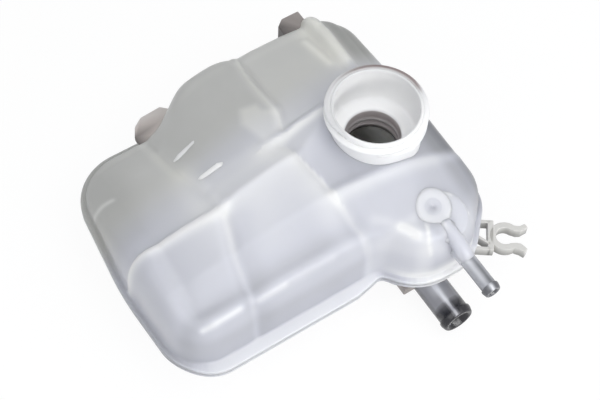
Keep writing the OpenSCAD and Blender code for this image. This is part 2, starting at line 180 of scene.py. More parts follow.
# %% Toned plastic
def toned(mat, dark, light, aged=None, mottle=0.0):
    """Lets the tone lead the colour from dark over the plain one to light."""
    tree = mat.node_tree
    shade = tree.nodes["Principled BSDF"]
    spread = tree.nodes.new("ShaderNodeMapRange")
    spread.inputs["From Min"].default_value = -1
    spread.inputs["From Max"].default_value = 1
    ramp = tree.nodes.new("ShaderNodeValToRGB")
    ramp.color_ramp.elements[0].color = (*dark, 1)
    ramp.color_ramp.elements[1].color = (*light, 1)
    middle = ramp.color_ramp.elements.new(0.5)
    middle.color = tuple(shade.inputs["Base Color"].default_value)
    tree.links.new(cloudy_tone(tree, mottle), spread.inputs["Value"])
    tree.links.new(spread.outputs["Result"], ramp.inputs["Fac"])
    color = ramp.outputs["Color"]
    if aged:
        color = yellowed(tree, color, aged)
    tree.links.new(color, shade.inputs["Base Color"])


YELLOWING = (1.0, 0.985, 0.86)
# the dark and light ends of each ramp are the colours of painted shade and painted light
toned(milky, dark=(0.25, 0.255, 0.275), light=(0.97, 0.975, 1.0), aged=YELLOWING, mottle=0.12)
toned(neck_white, dark=(0.30, 0.24, 0.235), light=(1.0, 1.0, 1.0))
toned(smoky, dark=(0.015, 0.015, 0.02), light=(0.75, 0.76, 0.80))
toned(pale_smoke, dark=(0.06, 0.06, 0.07), light=(0.80, 0.81, 0.85))
toned(ear_pink, dark=(0.04, 0.035, 0.035), light=(0.75, 0.73, 0.71), mottle=0.3)
toned(clip_white, dark=(0.10, 0.10, 0.09), light=(0.90, 0.89, 0.86))
print("nodes of the milky plastic", len(milky.node_tree.nodes))

# %% [markdown]
# ## Outline of the wall
#
# The wall's foot, where it meets the flange, is a polygon with a round fillet at each
# corner. A curve object could hold it, but every ring of the shells is an inset of this one
# line. So it is worked out as plain points at even steps.

# %% Corners and fillets
# Each corner: its place in plan and the radius of its fillet
CORNERS = [
    (-113, -63.5, 24),
    (12, -63.5, 12),
    (28, -84, 30),
    (62, -84, 26),
    (89, -56, 24),
    (89.2, 20, 200),
    (84.5, 93, 28),
    (-30, 93, 20),
    (-50, 80, 10),
    (-107.5, 80, 30),
    (-116, 0, 200),
]


def unit(v):
    return v / np.linalg.norm(v)


def fillet(before, corner, after, radius, steps=24):
    """The arc that rounds a corner between its two neighbours."""
    back = unit(before - corner)
    ahead = unit(after - corner)
    half = math.acos(float(back @ ahead)) / 2
    centre = corner + unit(back + ahead) * radius / math.sin(half)
    start = corner + back * radius / math.tan(half) - centre
    side = np.sign(back[0] * ahead[1] - back[1] * ahead[0])
    arc = []
    for k in range(steps + 1):
        angle = -side * (math.pi - 2 * half) * k / steps
        co, si = math.cos(angle), math.sin(angle)
        arc.append(centre + np.array([start[0] * co - start[1] * si, start[0] * si + start[1] * co]))
    return arc


print("corners", len(CORNERS), "with fillets from", min(c[2] for c in CORNERS), "mm")

# %% [markdown]
# ## Even steps
#
# The fillets leave many points in the corners and none on the straights. Rings made of
# these would have faces of very different width, which shade unevenly. So the line is
# walked once more at even steps.

# %% Outline
ROUND = 720


def resampled(line, count):
    """A closed line at even steps."""
    closed = np.vstack([line, line[:1]])
    length = np.concatenate([[0], np.cumsum(np.linalg.norm(np.diff(closed, axis=0), axis=1))])
    at = np.linspace(0, length[-1], count, endpoint=False)
    return np.stack([np.interp(at, length, closed[:, k]) for k in (0, 1)], axis=1)


plan_corners = [np.array(corner[:2], float) for corner in CORNERS]
rough_line = []
for i, corner in enumerate(CORNERS):
    after = plan_corners[(i + 1) % len(CORNERS)]
    rough_line += fillet(plan_corners[i - 1], plan_corners[i], after, corner[2])
foot = resampled(np.array(rough_line), ROUND)
print("foot line", foot.min(0).round(1), foot.max(0).round(1))

# %% [markdown]
# ## Which way the wall faces
#
# Shoulder, flange and dirt differ between the left, the front and the back. The sides
# could be picked by hand, but the direction that the wall faces at each step tells them
# apart. It is read from points three steps before and after, which evens out the corners.

# %% Facing
FACING_REACH = 3


def lerp(a, b, t):
    return a + (b - a) * t


def smooth(t):
    t = np.clip(t, 0, 1)
    return t * t * (3 - 2 * t)


def normals_of(line):
    """The outward direction at each point of a closed line."""
    run = np.roll(line, -FACING_REACH, axis=0) - np.roll(line, FACING_REACH, axis=0)
    run /= np.linalg.norm(run, axis=1)[:, None]
    return np.stack([run[:, 1], -run[:, 0]], axis=1)


outward = normals_of(foot)
left_facing = np.maximum(0, -outward[:, 0])
front_facing = np.maximum(0, -outward[:, 1])
back_facing = np.maximum(0, outward[:, 1])
print("steps that face the front", (front_facing > 0.9).sum(), "of", ROUND)

# %% [markdown]
# ## Shoulder and flange
#
# The shoulder rolls over further at the left and the back than at the front, and the
# flange is wider along the front, up to the bay. Both follow from the way that the wall
# faces, so no measure has to be typed in for each point.

# %% Shoulder and flange
CREST_Y = -18
CREST_RUN = 20
SHOULDER = 12
SHOULDER_LEFT = 2
SHOULDER_LEFT_BACK = 6
SHOULDER_BACK = 3
BAY_X = 15
BAY_RUN = 22
FLANGE_OUT = 3.5
FLANGE_FRONT = 4.5


def inset(depth):
    """The foot line moved inwards by a depth, which may differ from point to point."""
    return foot - outward * np.broadcast_to(depth, (ROUND,))[:, None]


behind_crest = smooth((foot[:, 1] - CREST_Y) / CREST_RUN)
left_roll = (SHOULDER_LEFT + SHOULDER_LEFT_BACK * behind_crest) * left_facing**2
shoulder_in = SHOULDER + left_roll + SHOULDER_BACK * back_facing**2
before_bay = np.clip((BAY_X - foot[:, 0]) / BAY_RUN, 0, 1)
flange_out = FLANGE_OUT + FLANGE_FRONT * (front_facing**4 * before_bay)
print("shoulder", shoulder_in.min().round(1), "to", shoulder_in.max().round(1), "mm deep")

# %% [markdown]
# ## Distances in plan
#
# Panels, ridges and soft tones all depend on how far a point is from a line or from the
# edge of a panel. Vertex groups painted by hand could say this too, but a distance stays
# right when a line is moved.

# %% Distance helpers
def line_distance(p, line):
    """Distance from points to a line of points, and the place along it."""
    line = np.asarray(line, float)
    best = np.full(len(p), 1e9)
    along = np.zeros(len(p))
    for k in range(len(line) - 1):
        a, d = line[k], line[k + 1] - line[k]
        t = np.clip(((p - a) @ d) / (d @ d), 0, 1)
        off = np.linalg.norm(p - a - t[:, None] * d, axis=1)
        closer = off < best
        best[closer] = off[closer]
        along[closer] = (k + t)[closer]
    return best, along


def side_distance(p, line):
    """Distance to a line of points, above 0 on its left hand and below 0 on its right."""
    line = np.asarray(line, float)
    off, along = line_distance(p, line)
    k = np.minimum(along.astype(int), len(line) - 2)
    run, rest = line[k + 1] - line[k], p - line[k]
    left = run[:, 0] * rest[:, 1] - run[:, 1] * rest[:, 0] > 0
    return np.where(left, off, -off)


def pad_distance(p, polygon):
    """Distance to the edge of a closed polygon, above 0 inside."""
    ring = np.vstack([polygon, polygon[:1]]).astype(float)
    off, _ = line_distance(p, ring)
    inside = np.zeros(len(p), bool)
    for a, b in zip(ring[:-1], ring[1:]):
        cross = (a[1] > p[:, 1]) != (b[1] > p[:, 1])
        with np.errstate(all="ignore"):
            x = (b[0] - a[0]) * (p[:, 1] - a[1]) / (b[1] - a[1]) + a[0]
        inside ^= cross & (p[:, 0] < x)
    return np.where(inside, off, -off)


NECK = np.array([44.4, -5.6])
print("neck to the wall's foot", pad_distance(NECK[None, :], foot).round(1), "mm")

# %% [markdown]
# ## Slopes of the roof
#
# The panels meet along lines that cross the tank. The heights at the crossings of four rows
# and five lines give the main slopes, and a crown bulges each panel a little. Sculpting
# would be quicker, but these few numbers are almost those of the measured model, which has
# a coarser net, and so the two surfaces stay together.

# %% Slopes
# Each row runs from left to right: place in plan and height above the weld
SLOPES = np.array([
    [(-98, -48, 36), (-67.5, -51.5, 39), (3, -51.5, 39), (48, -71, 37), (76, -66, 27)],
    [(-95, -32, 41), (-65, -34, 50), (-1, -32, 53), (46, -35, 49), (78, -33, 31)],
    [(-95, -4.5, 44), (-57.5, -8.5, 57), (-5, -2, 58), (50, 27, 54), (78, 22, 34)],
    [(-93, 74, 9), (-58, 74, 12), (5, 78, 37.5), (60, 78, 37), (76, 78, 36)],
], float)
ROWS, LINES_ACROSS = SLOPES.shape[:2]
# How far each panel bulges between two lines, row by row
CROWN = np.array([
    [1.5, 2, 2, 1],
    [2, 3, 1.5, 1],
    [2, 3, 1.5, 1],
    [2, 12, 3, 2],
], float)


def share_in(marks, value):
    """The place of each value between rows of marks: a whole part and a share."""
    out = np.zeros(len(value))
    for k in range(len(marks) - 1):
        share = k + np.clip((value - marks[k]) / (marks[k + 1] - marks[k]), 0, 1)
        out = np.where((value > marks[k]) | (k == 0), share, out)
    return out


def slope_height(p):
    """Height of the main slopes and their crowns at plan points."""
    lines = [np.interp(p[:, 1], SLOPES[:, k, 1], SLOPES[:, k, 0]) for k in range(LINES_ACROSS)]
    rows = [np.interp(p[:, 0], row[:, 0], row[:, 1]) for row in SLOPES]
    u, v = share_in(lines, p[:, 0]), share_in(rows, p[:, 1])
    i = np.minimum(u.astype(int), LINES_ACROSS - 2)
    j = np.minimum(v.astype(int), ROWS - 2)
    s, t = u - i, v - j
    z = SLOPES[:, :, 2]
    level = lerp(lerp(z[j, i], z[j, i + 1], s), lerp(z[j + 1, i], z[j + 1, i + 1], s), t)
    return level + lerp(CROWN[j, i], CROWN[j + 1, i], t) * (1 - np.abs(2 * s - 1) ** 3)


print("slope behind the neck", slope_height(NECK[None, :] + [[0, 30.0]]).round(1), "mm")

# %% [markdown]
# ## Sunk panels
#
# Three panels and the ledge round the neck lie lower than the slopes between them. A
# boolean cut would leave sharp steps, where the real moulding has soft edges a few
# millimetres wide. Here a smooth step of height follows the distance to each panel's edge.

# %% Pads
# Each pad: its corners in plan, how far it is raised (or sunk), and the width of its edge
PADS = [
    # the ledge round the neck lies lower than the front panels
    ([(-6, -3), (-1.5, -31), (20, -33), (46, -35), (100, -34),
      (100, 24), (50, 27), (24, 18), (-2, 15), (-13, 8)], -1.5, 4),
    # the left back panel drops behind the crest
    ([(-130, -0.5), (-95, -3.5), (-57.5, -8), (-57, 20), (-57, 110), (-130, 110)], -3.0, 4),
    # the panel behind the neck
    ([(-3, 17), (24, 20), (58, 29), (58, 110), (10, 110), (8, 74), (6, 50), (6, 35)], -4.0, 5),
    # the right back panel
    ([(64, 26), (110, 24), (110, 110), (64, 110)], -3.0, 3),
]


def in_pads(p, table):
    """The sum of soft steps: a row's amount inside its polygon, fading over its width."""
    total = np.zeros(len(p))
    for polygon, amount, width in table:
        total += amount * smooth(pad_distance(p, np.array(polygon, float)) / width + 0.5)
    return total


def roof_height(p):
    """Height of the roof above the weld at plan points, before ridges and grooves."""
    return slope_height(p) + in_pads(p, PADS)


print("roof behind the neck", roof_height(NECK[None, :] + [[0, 30.0]]).round(1), "mm")

# %% [markdown]
# ## Ridges and grooves
#
# Where two panels meet the moulding has a thin ridge or a shallow groove. It could be a
# bevel, but each one grows or fades on its way. So each line carries a height at each of
# its points, and a bell shaped profile spreads it sideways.

# %% Ridges
# Each line: plan points, the height at each (below 0 for a groove), and the half width
LINES = [
    ([(-69.4, -64), (-66, -36), (-57.5, -9)], [-1.4, -1.4, -1], 3.5),
    ([(6, -68), (-1.5, -32), (-5.5, -4)], [-1, -1.2, -0.8], 3.5),
    ([(-110, -4), (-57.5, -8.5), (-5, -2)], [0.4, 1, 1], 2.6),
    ([(-1, -32), (46, -35), (78, -33)], [1.6, 2, 1], 3.5),
    ([(-19, 12), (-2, 15), (24, 18)], [1.5, 1.8, 1.5], 3.0),
    ([(-58, 60), (-57.5, -9)], [2, 2], 3.5),
    ([(61, 92), (62.5, 71), (60, 45)], [3, 3, 1], 3.5),
    ([(49, 72), (50, 48)], [1.5, 1], 3.0),
]


def ridges(p):
    total = np.zeros(len(p))
    for points, heights, width in LINES:
        off, along = line_distance(p, points)
        amount = np.interp(along, range(len(heights)), heights)
        total += amount * np.exp(-((off / width) ** 2))
    return total


print("ridge on the crest", ridges(np.array([[-57.5, -8.5]])).round(1), "mm")

# %% [markdown]
# ## Painted light streaks
#
# A rib behind the wall or an edge that gathers light makes a pale streak, and here it is
# painted light; the low front shoulder gets a band of painted shade. The streaks could be
# thin lamps or hidden ribs. They are stored as tone, because that holds under any light
# and from any side.

# %% Streaks
# Each streak of painted light (painted shade below 0): plan points, tone and width
PAINTED_STREAKS = [
    ([(-60, -8), (-5, -4)], 0.38, 24.0),
    ([(-66, -2), (-61, 30)], 0.3, 8.0),
    ([(-69.4, -64), (-66, -36), (-58, -10)], 0.3, 2.0),
    ([(-64, -60), (-60, -36), (-52, -20)], -0.18, 7.0),
    ([(6, -68), (4, -61), (-1.5, -32)], 0.35, 2.6),
    ([(-19, 6), (-2, 9), (24, 11)], 0.35, 10.0),
    ([(-1, -34), (46, -37), (85, -36)], 0.38, 3.5),
    ([(61, 92), (62.5, 71), (60, 45)], 0.6, 3.5),
    ([(55, 90), (55, 45)], 0.35, 7.0),
    ([(49, 72), (50, 48)], 0.4, 2.5),
    ([(-62, 80), (-62, 40), (-57, 10)], 0.25, 3.0),
    ([(-104, -52), (-70, -52), (0, -51)], -0.28, 5.5),
    ([(-7, -52), (-9, -25)], 0.2, 8.0),
]


def streaks(p, table):
    """The sum of bell shaped streaks along lines, in plan or in space."""
    total = np.zeros(len(p))
    for line, amount, width in table:
        off, _ = line_distance(p, line)
        total += amount * np.exp(-((off / width) ** 2))
    return total


print("streaks", len(PAINTED_STREAKS))

# %% [markdown]
# ## Painted steps of light and shade
#
# A panel that meets another at an angle catches the light differently, so painted light
# or painted shade changes its tone at the line, and fades back as it leaves it. One blurred
# streak would soften the line itself. So each side of the line has an amount and a width
# of its own.

# %% Steps of tone
# A sharp step of tone at a line, seen from its right hand: amount and width on the right,
# then on the left
PAINTED_STEPS = [
    ([(-116, -1), (-94.5, -3.5), (-77, -5.5), (-58, -8)], 1.2, 4.6, -0.05, 5.0),
    ([(-58, -8), (-40.5, -9.7), (-16, -7.6), (-5, -4)], 0.06, 6.0, 0.05, 12.0),
    ([(-5, -4), (-1.0, -20), (0.5, -31)], 0.5, 8.0, -0.1, 5.0),
    ([(-19.5, 11.5), (-7, 13.5), (4, 15.5), (24.4, 17.6)], 0.6, 4.0, -0.1, 4.0),
    ([(8, 80), (6, 70), (4.5, 58), (4, 40), (4, 31), (0, 21)], 0.4, 4.5, -0.05, 4.0),
]
STEP_EDGE = 1.2
STEP_REACH = 4


def step_tone(p, line, near, near_w, far, far_w):
    """The tone of one step: strongest at its line, and fading to both sides."""
    off = side_distance(p, line)
    right = near * np.exp(-((np.minimum(off, 0) / near_w) ** 2))
    left = far * np.exp(-((np.maximum(off, 0) / far_w) ** 2))
    close = np.abs(off) < STEP_REACH * max(near_w, far_w)
    return lerp(right, left, smooth(off / STEP_EDGE + 0.5)) * close


print("steps of tone", len(PAINTED_STEPS))

# %% [markdown]
# ## Painted highlights and patches
#
# The round shoulder and the bay's corners catch thin bright lines, painted here as
# highlights, and whole panels differ a little in tone from their neighbours by painted light
# and shade. A highlight lies on a curved wall, so its points are in space and not in plan. A
# patch is a polygon with a soft edge, as the pads are.

# %% Highlights and patches
# Each painted highlight (painted shade below 0): points in space, tone and width
PAINTED_HIGHLIGHTS = [
    ([(-98.9, -56.4, 32.3), (-93.9, -57.4, 34.6), (-87.9, -57.7, 35.8),
      (-81.7, -57.8, 36.4), (-76.7, -57.7, 36.8)], 0.75, 1.9),
    ([(-64.5, -58.2, 35.4), (-57.1, -58.5, 36.5), (-48.8, -58.4, 37.1)], 0.38, 2.0),
    ([(-64.5, -58.2, 35.4), (-48.8, -58.4, 37.1), (-28.8, -58.3, 37.5), (-18.4, -58.2, 37.5)], 0.22, 3.2),
    ([(13.3, -52.8, 41.9), (17.9, -55.9, 41.2), (22.6, -60.9, 39.8), (29.5, -74, 38)], 0.22, 3.0),
    ([(24.4, -63.3, 39.7), (26.8, -66.8, 39.4), (28.8, -71.0, 38.8)], 1.1, 2.3),
    ([(36.9, -69.4, 39.2), (34.3, -75.0, 38.9), (32.6, -79.2, 34.3), (33.1, -82.1, 25.8)], 0.8, 1.3),
    ([(45.9, -73.3, 37.8), (49.0, -83.0, 30.3), (50.9, -89.9, 25.4)], 0.8, 1.4),
    ([(39.5, -76, 37.5), (42, -80, 33), (45, -84, 27)], -0.25, 2.5),
    ([(58.0, -57.5, 41.2), (59.6, -60.5, 40.6)], 0.8, 1.6),
    ([(64.5, -68.4, 35.4), (65.5, -71.6, 30.4)], 0.7, 1.2),
    ([(-112.2, 46.7, 7.9), (-108.5, 47.4, 13.8), (-103.4, 48.1, 16.0), (-97.7, 47.7, 17.2)], 0.5, 1.8),
]
# Each patch of painted light or shade: corners in plan, tone and the width of its edge
PAINTED_PATCHES = [
    ([(-14, 44), (-19, 34), (-16, 14), (1, 20), (5, 33), (-3, 38), (-4, 43)], 0.42, 6),
    ([(-56, 0), (-10, 4), (-14, 16), (-55, 16)], 0.15, 8),
    ([(-100, 4), (-58, -2), (-58, 60), (-80, 60)], 0.12, 20),
    ([(10, -90), (70, -90), (88, -70), (80, -58), (60, -76), (30, -76)], 0.25, 8),
    ([(6, -61), (34, -61), (34, -92), (6, -92)], 0.3, 6),
    # the panel behind the neck is painted a little lighter than its neighbours
    ([(-3, 17), (24, 20), (58, 29), (58, 110), (10, 110), (6, 50)], 0.2, 6),
    # the ledge round the neck and the right side get painted shade
    ([(-4, -4), (0, -28), (46, -33), (110, -30), (110, 24), (50, 26), (24, 14), (-4, 11), (-9, 6)], -0.33, 6),
    ([(70, -72), (110, -72), (110, 30), (70, 30)], -0.42, 12),
    ([(80, -70), (110, -70), (110, 10), (80, 10)], -0.3, 8),
]
print("highlights", len(PAINTED_HIGHLIGHTS), "patches", len(PAINTED_PATCHES))

# %% [markdown]
# ## Tone and age of a point
#
# All of it adds up to one tone, and four wide fades paint shade on the back, the left back,
# the right back and the low front, where the tank is deep or turns away from the light. The
# back has also yellowed a little, and the front has stayed bluish.

# %% Tone and age
# The line behind which the tank has yellowed: X, then Y at each
AGED_X = [-110, -60, 0, 60]
AGED_Y = [2, 8, 14, 22]


def tone_at(p, z):
    """The tone of points of the shells, given in plan and by their heights."""
    x, y = p[:, 0], p[:, 1]
    total = streaks(p, PAINTED_STREAKS)
    for step in PAINTED_STEPS:
        total += step_tone(p, *step)
    for patch in PAINTED_PATCHES:
        total += in_pads(p, [patch])
    total += streaks(np.column_stack([p, z]), PAINTED_HIGHLIGHTS)
    # painted shade on the back, the left back, the right back and the low front wall
    back = 0.16 * smooth((y - 10) / 40)
    left_back = 0.22 * smooth((-66 - x) / 40) * smooth((y + 4) / 20)
    right_back = 0.56 * smooth((x - 62) / 10) * smooth((y - 35) / 20)
    low_front = 0.24 * smooth((30 - z) / 10) * smooth((-y - 40) / 15)
    return np.clip(total - back - left_back - right_back - low_front, -1, 1)


def age_at(p):
    """How far the plastic has yellowed at plan points."""
    return 0.9 * smooth((p[:, 1] - np.interp(p[:, 0], AGED_X, AGED_Y)) / 34)


def paint(obj, values, layer_name="tone"):
    """Stores a value for each vertex, which the plastic reads."""
    layer = obj.data.attributes.new(layer_name, "FLOAT", "POINT")
    layer.data.foreach_set("value", np.asarray(values, np.float32))


print("tone behind the neck", tone_at(NECK[None, :] + [[0, 50.0]], np.array([50.0])).round(2))

# %% [markdown]
# ## A square grid inside a ring
#
# The roof is one wide surface with a round hole for the neck. A fan of triangles from the
# rim would shade badly. A square grid carries the surface, and only a thin belt of
# triangles joins it to the ring and to the hole.

# %% Grid helpers
CLEAR_SHARE = 0.7


def grid_over(ring, holes, step):
    """A square grid over a ring, and which of its points are well inside."""
    xs = np.arange(ring[:, 0].min(), ring[:, 0].max(), step)
    ys = np.arange(ring[:, 1].min(), ring[:, 1].max(), step)
    gx, gy = np.meshgrid(xs, ys)
    grid = np.stack([gx.ravel(), gy.ravel()], axis=1)
    inside = pad_distance(grid, ring) > CLEAR_SHARE * step
    for centre, radius, _ in holes:
        inside &= np.linalg.norm(grid - centre, axis=1) > radius + CLEAR_SHARE * step
    return grid, inside.reshape(gx.shape)


def circle(centre, radius, count):
    a = np.linspace(0, 2 * math.pi, count, endpoint=False)
    return centre + radius * np.stack([np.cos(a), np.sin(a)], axis=1)


def border_of(quads):
    """The edges that belong to one quad only."""
    edges = {}
    for quad in quads:
        for k in range(4):
            edge = tuple(sorted((int(quad[k]), int(quad[(k + 1) % 4]))))
            edges[edge] = edges.get(edge, 0) + 1
    return [edge for edge, uses in edges.items() if uses == 1]


_, foot_inside = grid_over(foot, [], 10.0)
print("of a coarse grid", foot_inside.sum(), "points of", foot_inside.size, "lie in the foot line")

# %% [markdown]
# ## The belt between grid and ring
#
# The belt's triangles could be drawn by hand, but the ring and the grid don't line up. A
# constrained Delaunay triangulation finds them: it keeps the given edges and makes the
# triangles as even as it can.

# %% Filling a ring
def belt(points, rims, border, alone):
    """Triangles between the rims and the border of the grid, and the middle of each."""
    count = sum(len(rim) for rim in rims)
    used = sorted(set(range(count)) | {v for edge in border for v in edge} | set(alone))
    local = {v: k for k, v in enumerate(used)}
    wires = [(local[a], local[b]) for a, b in border]
    start = 0
    for rim in rims:
        n = len(rim)
        wires += [(start + k, start + (k + 1) % n) for k in range(n)]
        start += n
    corners = [Vector(points[v]) for v in used]
    verts, _, triangles, origins = delaunay_2d_cdt(corners, wires, [], 0, 1e-6, True)[:4]
    middle = np.array([np.mean([verts[v] for v in three], axis=0) for three in triangles])
    return [tuple(used[origins[v][0]] for v in three) for three in triangles], middle


def filled(ring, holes, step):
    """Points and faces that fill a ring. The ring comes first, then the holes' points."""
    grid, inside = grid_over(ring, holes, step)
    rims = [ring] + [circle(*hole) for hole in holes]
    fixed = np.vstack(rims)
    points = np.vstack([fixed, grid[inside.ravel()]])
    index = np.full(inside.shape, -1)
    index[inside] = np.arange(inside.sum()) + len(fixed)
    full = inside[:-1, :-1] & inside[1:, :-1] & inside[:-1, 1:] & inside[1:, 1:]
    around = [index[:-1, :-1], index[:-1, 1:], index[1:, 1:], index[1:, :-1]]
    quads = np.stack(around, axis=-1)[full]
    alone = index[inside][~np.isin(index[inside], quads)]
    triangles, middle = belt(points, rims, border_of(quads), alone.tolist())
    keep = pad_distance(middle, ring) > 0
    for centre, radius, _ in holes:
        keep &= np.linalg.norm(middle - centre, axis=1) > radius * 0.999
    cell = ((middle - grid[0]) / step).astype(int)
    col = np.clip(cell[:, 0], 0, full.shape[1] - 1)
    row = np.clip(cell[:, 1], 0, full.shape[0] - 1)
    keep &= ~full[row, col]
    faces = [tuple(int(v) for v in quad) for quad in quads]
    return points, faces + [three for three, kept in zip(triangles, keep) if kept]


test_points, test_faces = filled(foot, [], 20.0)
print("a coarse fill has", len(test_points), "points and", len(test_faces), "faces")

# %% [markdown]
# ## Rings of the upper shell
#
# The upper half was moulded in one piece with its flange. Rings climb from the flange up
# the wall and round the shoulder, which is a superellipse: fuller than a quarter circle,
# as on the real part. Loft tools could do it, but rings of equal count need no tool at all.

# %% Rings of the upper shell
SHOULDER_POWER = 2.6
FOOT_Z = FLANGE_T + 1.5
SHOULDER_ANGLES = [0, 6, 12, 19, 26, 33, 40, 46, 52, 57, 62, 66, 70, 74, 78, 81, 84, 87, 90]
# Each ring of the flange: how far in from the foot line, and its height
FLANGE_RINGS = [
    (-flange_out, 0.0),
    (-flange_out, FLANGE_T - 0.8),
    (-flange_out + 0.3, FLANGE_T - 0.2),
    (-flange_out + 0.9, FLANGE_T),
    (-1.4, FLANGE_T),
    (-0.5, FLANGE_T + 0.3),
    (-0.1, FLANGE_T + 0.8),
]


def ring_at(depth, z):
    """A ring of the shells: an inset of the foot line at a height."""
    line = inset(depth)
    return np.column_stack([line, np.full(ROUND, z) if np.isscalar(z) else z(line)])


def shoulder_ring(angle):
    """A ring of the wall and its shoulder: at 0 it stands on the foot, at 90 it is roof."""
    share = math.sin(angle) ** (2 / SHOULDER_POWER)
    inwards = shoulder_in * (1 - math.cos(angle) ** (2 / SHOULDER_POWER))
    return ring_at(inwards, lambda line: lerp(FOOT_Z, roof_height(line), share))


rings = [ring_at(depth, z) for depth, z in FLANGE_RINGS]
rings += [shoulder_ring(angle) for angle in np.radians(SHOULDER_ANGLES)]
print("upper shell", len(rings), "rings of", ROUND, "points")

# %% [markdown]
# ## Roof of the upper shell
#
# Inside the last ring the grid carries the panels, with a hole for the neck. The ridges are
# added along the normal of the surface and fade out on the flange. A displace modifier
# would do the same, but the finished points are needed for the inner skin.

# %% Roof of the upper shell
NECK_HOLE = 26.4
NECK_STEPS = 120
ROOF_STEP = 1.3


def bands(rings, count, closed=False):
    """Quads between rings that follow each other in a list of points."""
    faces = []
    for r in range(rings if closed else rings - 1):
        low, high = r * count, (r + 1) % rings * count
        for k in range(count):
            n = (k + 1) % count
            faces.append((low + k, low + n, high + n, high + k))
    return faces


def vertex_normals(points, faces):
    out = np.zeros_like(points)
    for f in faces:
        a, b, c = points[f[0]], points[f[1]], points[f[2]]
        n = np.cross(b - a, c - a)
        for v in f:
            out[v] += n
    length = np.linalg.norm(out, axis=1)
    return out / np.maximum(length, 1e-9)[:, None]


plan, fill_faces = filled(rings[-1][:, :2], [(NECK, NECK_HOLE, NECK_STEPS)], ROOF_STEP)
roof_points = np.column_stack([plan[ROUND:], roof_height(plan[ROUND:])])
outer = np.vstack(rings + [roof_points])
offset = (len(rings) - 1) * ROUND
outer_faces = bands(len(rings), ROUND) + [tuple(v + offset for v in f) for f in fill_faces]
normals = vertex_normals(outer, outer_faces)
off_flange = np.clip((outer[:, 2] - FLANGE_T) / 3, 0, 1)
outer = outer + normals * (ridges(outer[:, :2]) * off_flange)[:, None]
print("outer skin", len(outer), "points, top at", outer[:, 2].max().round(1))

# %% [markdown]
# ## Soft creases
#
# Moulded panels have no sharp lines. A subdivision modifier would soften them and also
# multiply the faces. Three rounds of moving each point halfway to the middle of its
# neighbours are enough, and the flange and the neck's hole are held still.

# %% Soft creases
HELD_RINGS = 5
RELAX_ROUNDS = 3


def relaxed(points, faces, fixed, rounds, share=0.5):
    """Moves each point towards the middle of its neighbours, so that creases get soft."""
    pairs = np.array([(f[k], f[(k + 1) % len(f)]) for f in faces for k in range(len(f))])
    pairs = np.vstack([pairs, pairs[:, ::-1]])
    count = np.zeros(len(points))
    np.add.at(count, pairs[:, 0], 1)
    out = points.copy()
    for _ in range(rounds):
        total = np.zeros_like(out)
        np.add.at(total, pairs[:, 0], out[pairs[:, 1]])
        middle = total / np.maximum(count, 1)[:, None]
        out = np.where(fixed[:, None], out, lerp(out, middle, share))
    return out


held = np.zeros(len(outer), bool)
held[: HELD_RINGS * ROUND] = True
hole_start = len(rings) * ROUND
held[hole_start: hole_start + NECK_STEPS] = True
outer = relaxed(outer, outer_faces, held, RELAX_ROUNDS)
print("held points", held.sum())

# %% [markdown]
# ## A wall with two skins
#
# Light has to scatter in a real wall, so the shell gets an inner skin three millimetres
# inside the outer one. A solidify modifier would fold over at the flange. Here the inner
# skin starts above the flange, and two bands close the wall at its foot.

# %% Inner skin
INNER_RING = 6


def two_skins(outer, normals, faces, below=False):
    """A closed wall from an outer skin, and how far on the inner points are numbered."""
    first = INNER_RING * ROUND
    rim = np.column_stack([inset(WALL), np.zeros(ROUND)])
    base = len(outer)
    moved = base + ROUND - first
    closed = list(faces)
    for k in range(ROUND):
        n = (k + 1) % ROUND
        a, b = (k, n) if below else (n, k)
        closed.append((a, b, base + b, base + a))
        closed.append((base + a, base + b, base + ROUND + b, base + ROUND + a))
    closed += [tuple(v + moved for v in reversed(f)) for f in faces if min(f) >= first]
    return np.vstack([outer, rim, outer[first:] - normals[first:] * WALL]), closed, moved


points, faces, _ = two_skins(outer, vertex_normals(outer, outer_faces), outer_faces)
roof = add_mesh("roof_shell", points, faces, milky)
print("roof", len(points), "points", len(faces), "faces")

# %% [markdown]
# ## Painted shade and light on the flange
#
# Painted shade darkens the flange at the sides and at the back, and painted light keeps its
# front edge pale. A second material would end at a hard line. The tone of the nearest
# stretch of the foot line is blended in instead, with painted light on the wall just above
# it in the bay.

# %% Tone of the upper shell
def rim_tone(p, z, tone):
    """Paints shade on the flange at the sides and the back, and light on its front and the bay."""
    near = np.argmin(np.linalg.norm(p[:, None, :] - foot[None, ::2, :], axis=2), axis=1) * 2
    lit_front = front_facing[near] ** 3
    bay = smooth((p[:, 0] - 12) / 10) * smooth((90 - p[:, 0]) / 10)
    on_rim = smooth((FLANGE_T + 0.8 - z) / 0.8)
    above = smooth((FLANGE_T + 9 - z) / 5) * bay * front_facing[near] ** 1.5
    tone = tone + 1.1 * above * (1 - on_rim)
    return lerp(tone, lerp(-0.55, 0.35 + 0.65 * bay, lit_front), on_rim)


roof_tone = tone_at(points[:, :2], points[:, 2])
shown = points[:, 2] < FLANGE_T + 10
roof_tone[shown] = rim_tone(points[shown, :2], points[shown, 2], roof_tone[shown])
paint(roof, roof_tone)
paint(roof, age_at(points[:, :2]), "age")
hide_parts("upper_shell")
print("roof tone", roof_tone.min().round(2), "to", roof_tone.max().round(2))

# %% [markdown]
# ## Lower shell
#
# The tray below the weld leans in by its draft, so that it left its mould, and ends in a
# rounded edge round a flat floor. Only its flange and a little of the wall show from above.
# It is built as the roof was, turned over and on a coarser grid.

# %% Rings of the lower shell
TRAY_EDGE_R = 12.0
TRAY_STEP = 6.0
DRAFT_FROM = 3.8
DRAFT_RUN = 17.2
draft = 5 + 7 * front_facing**2

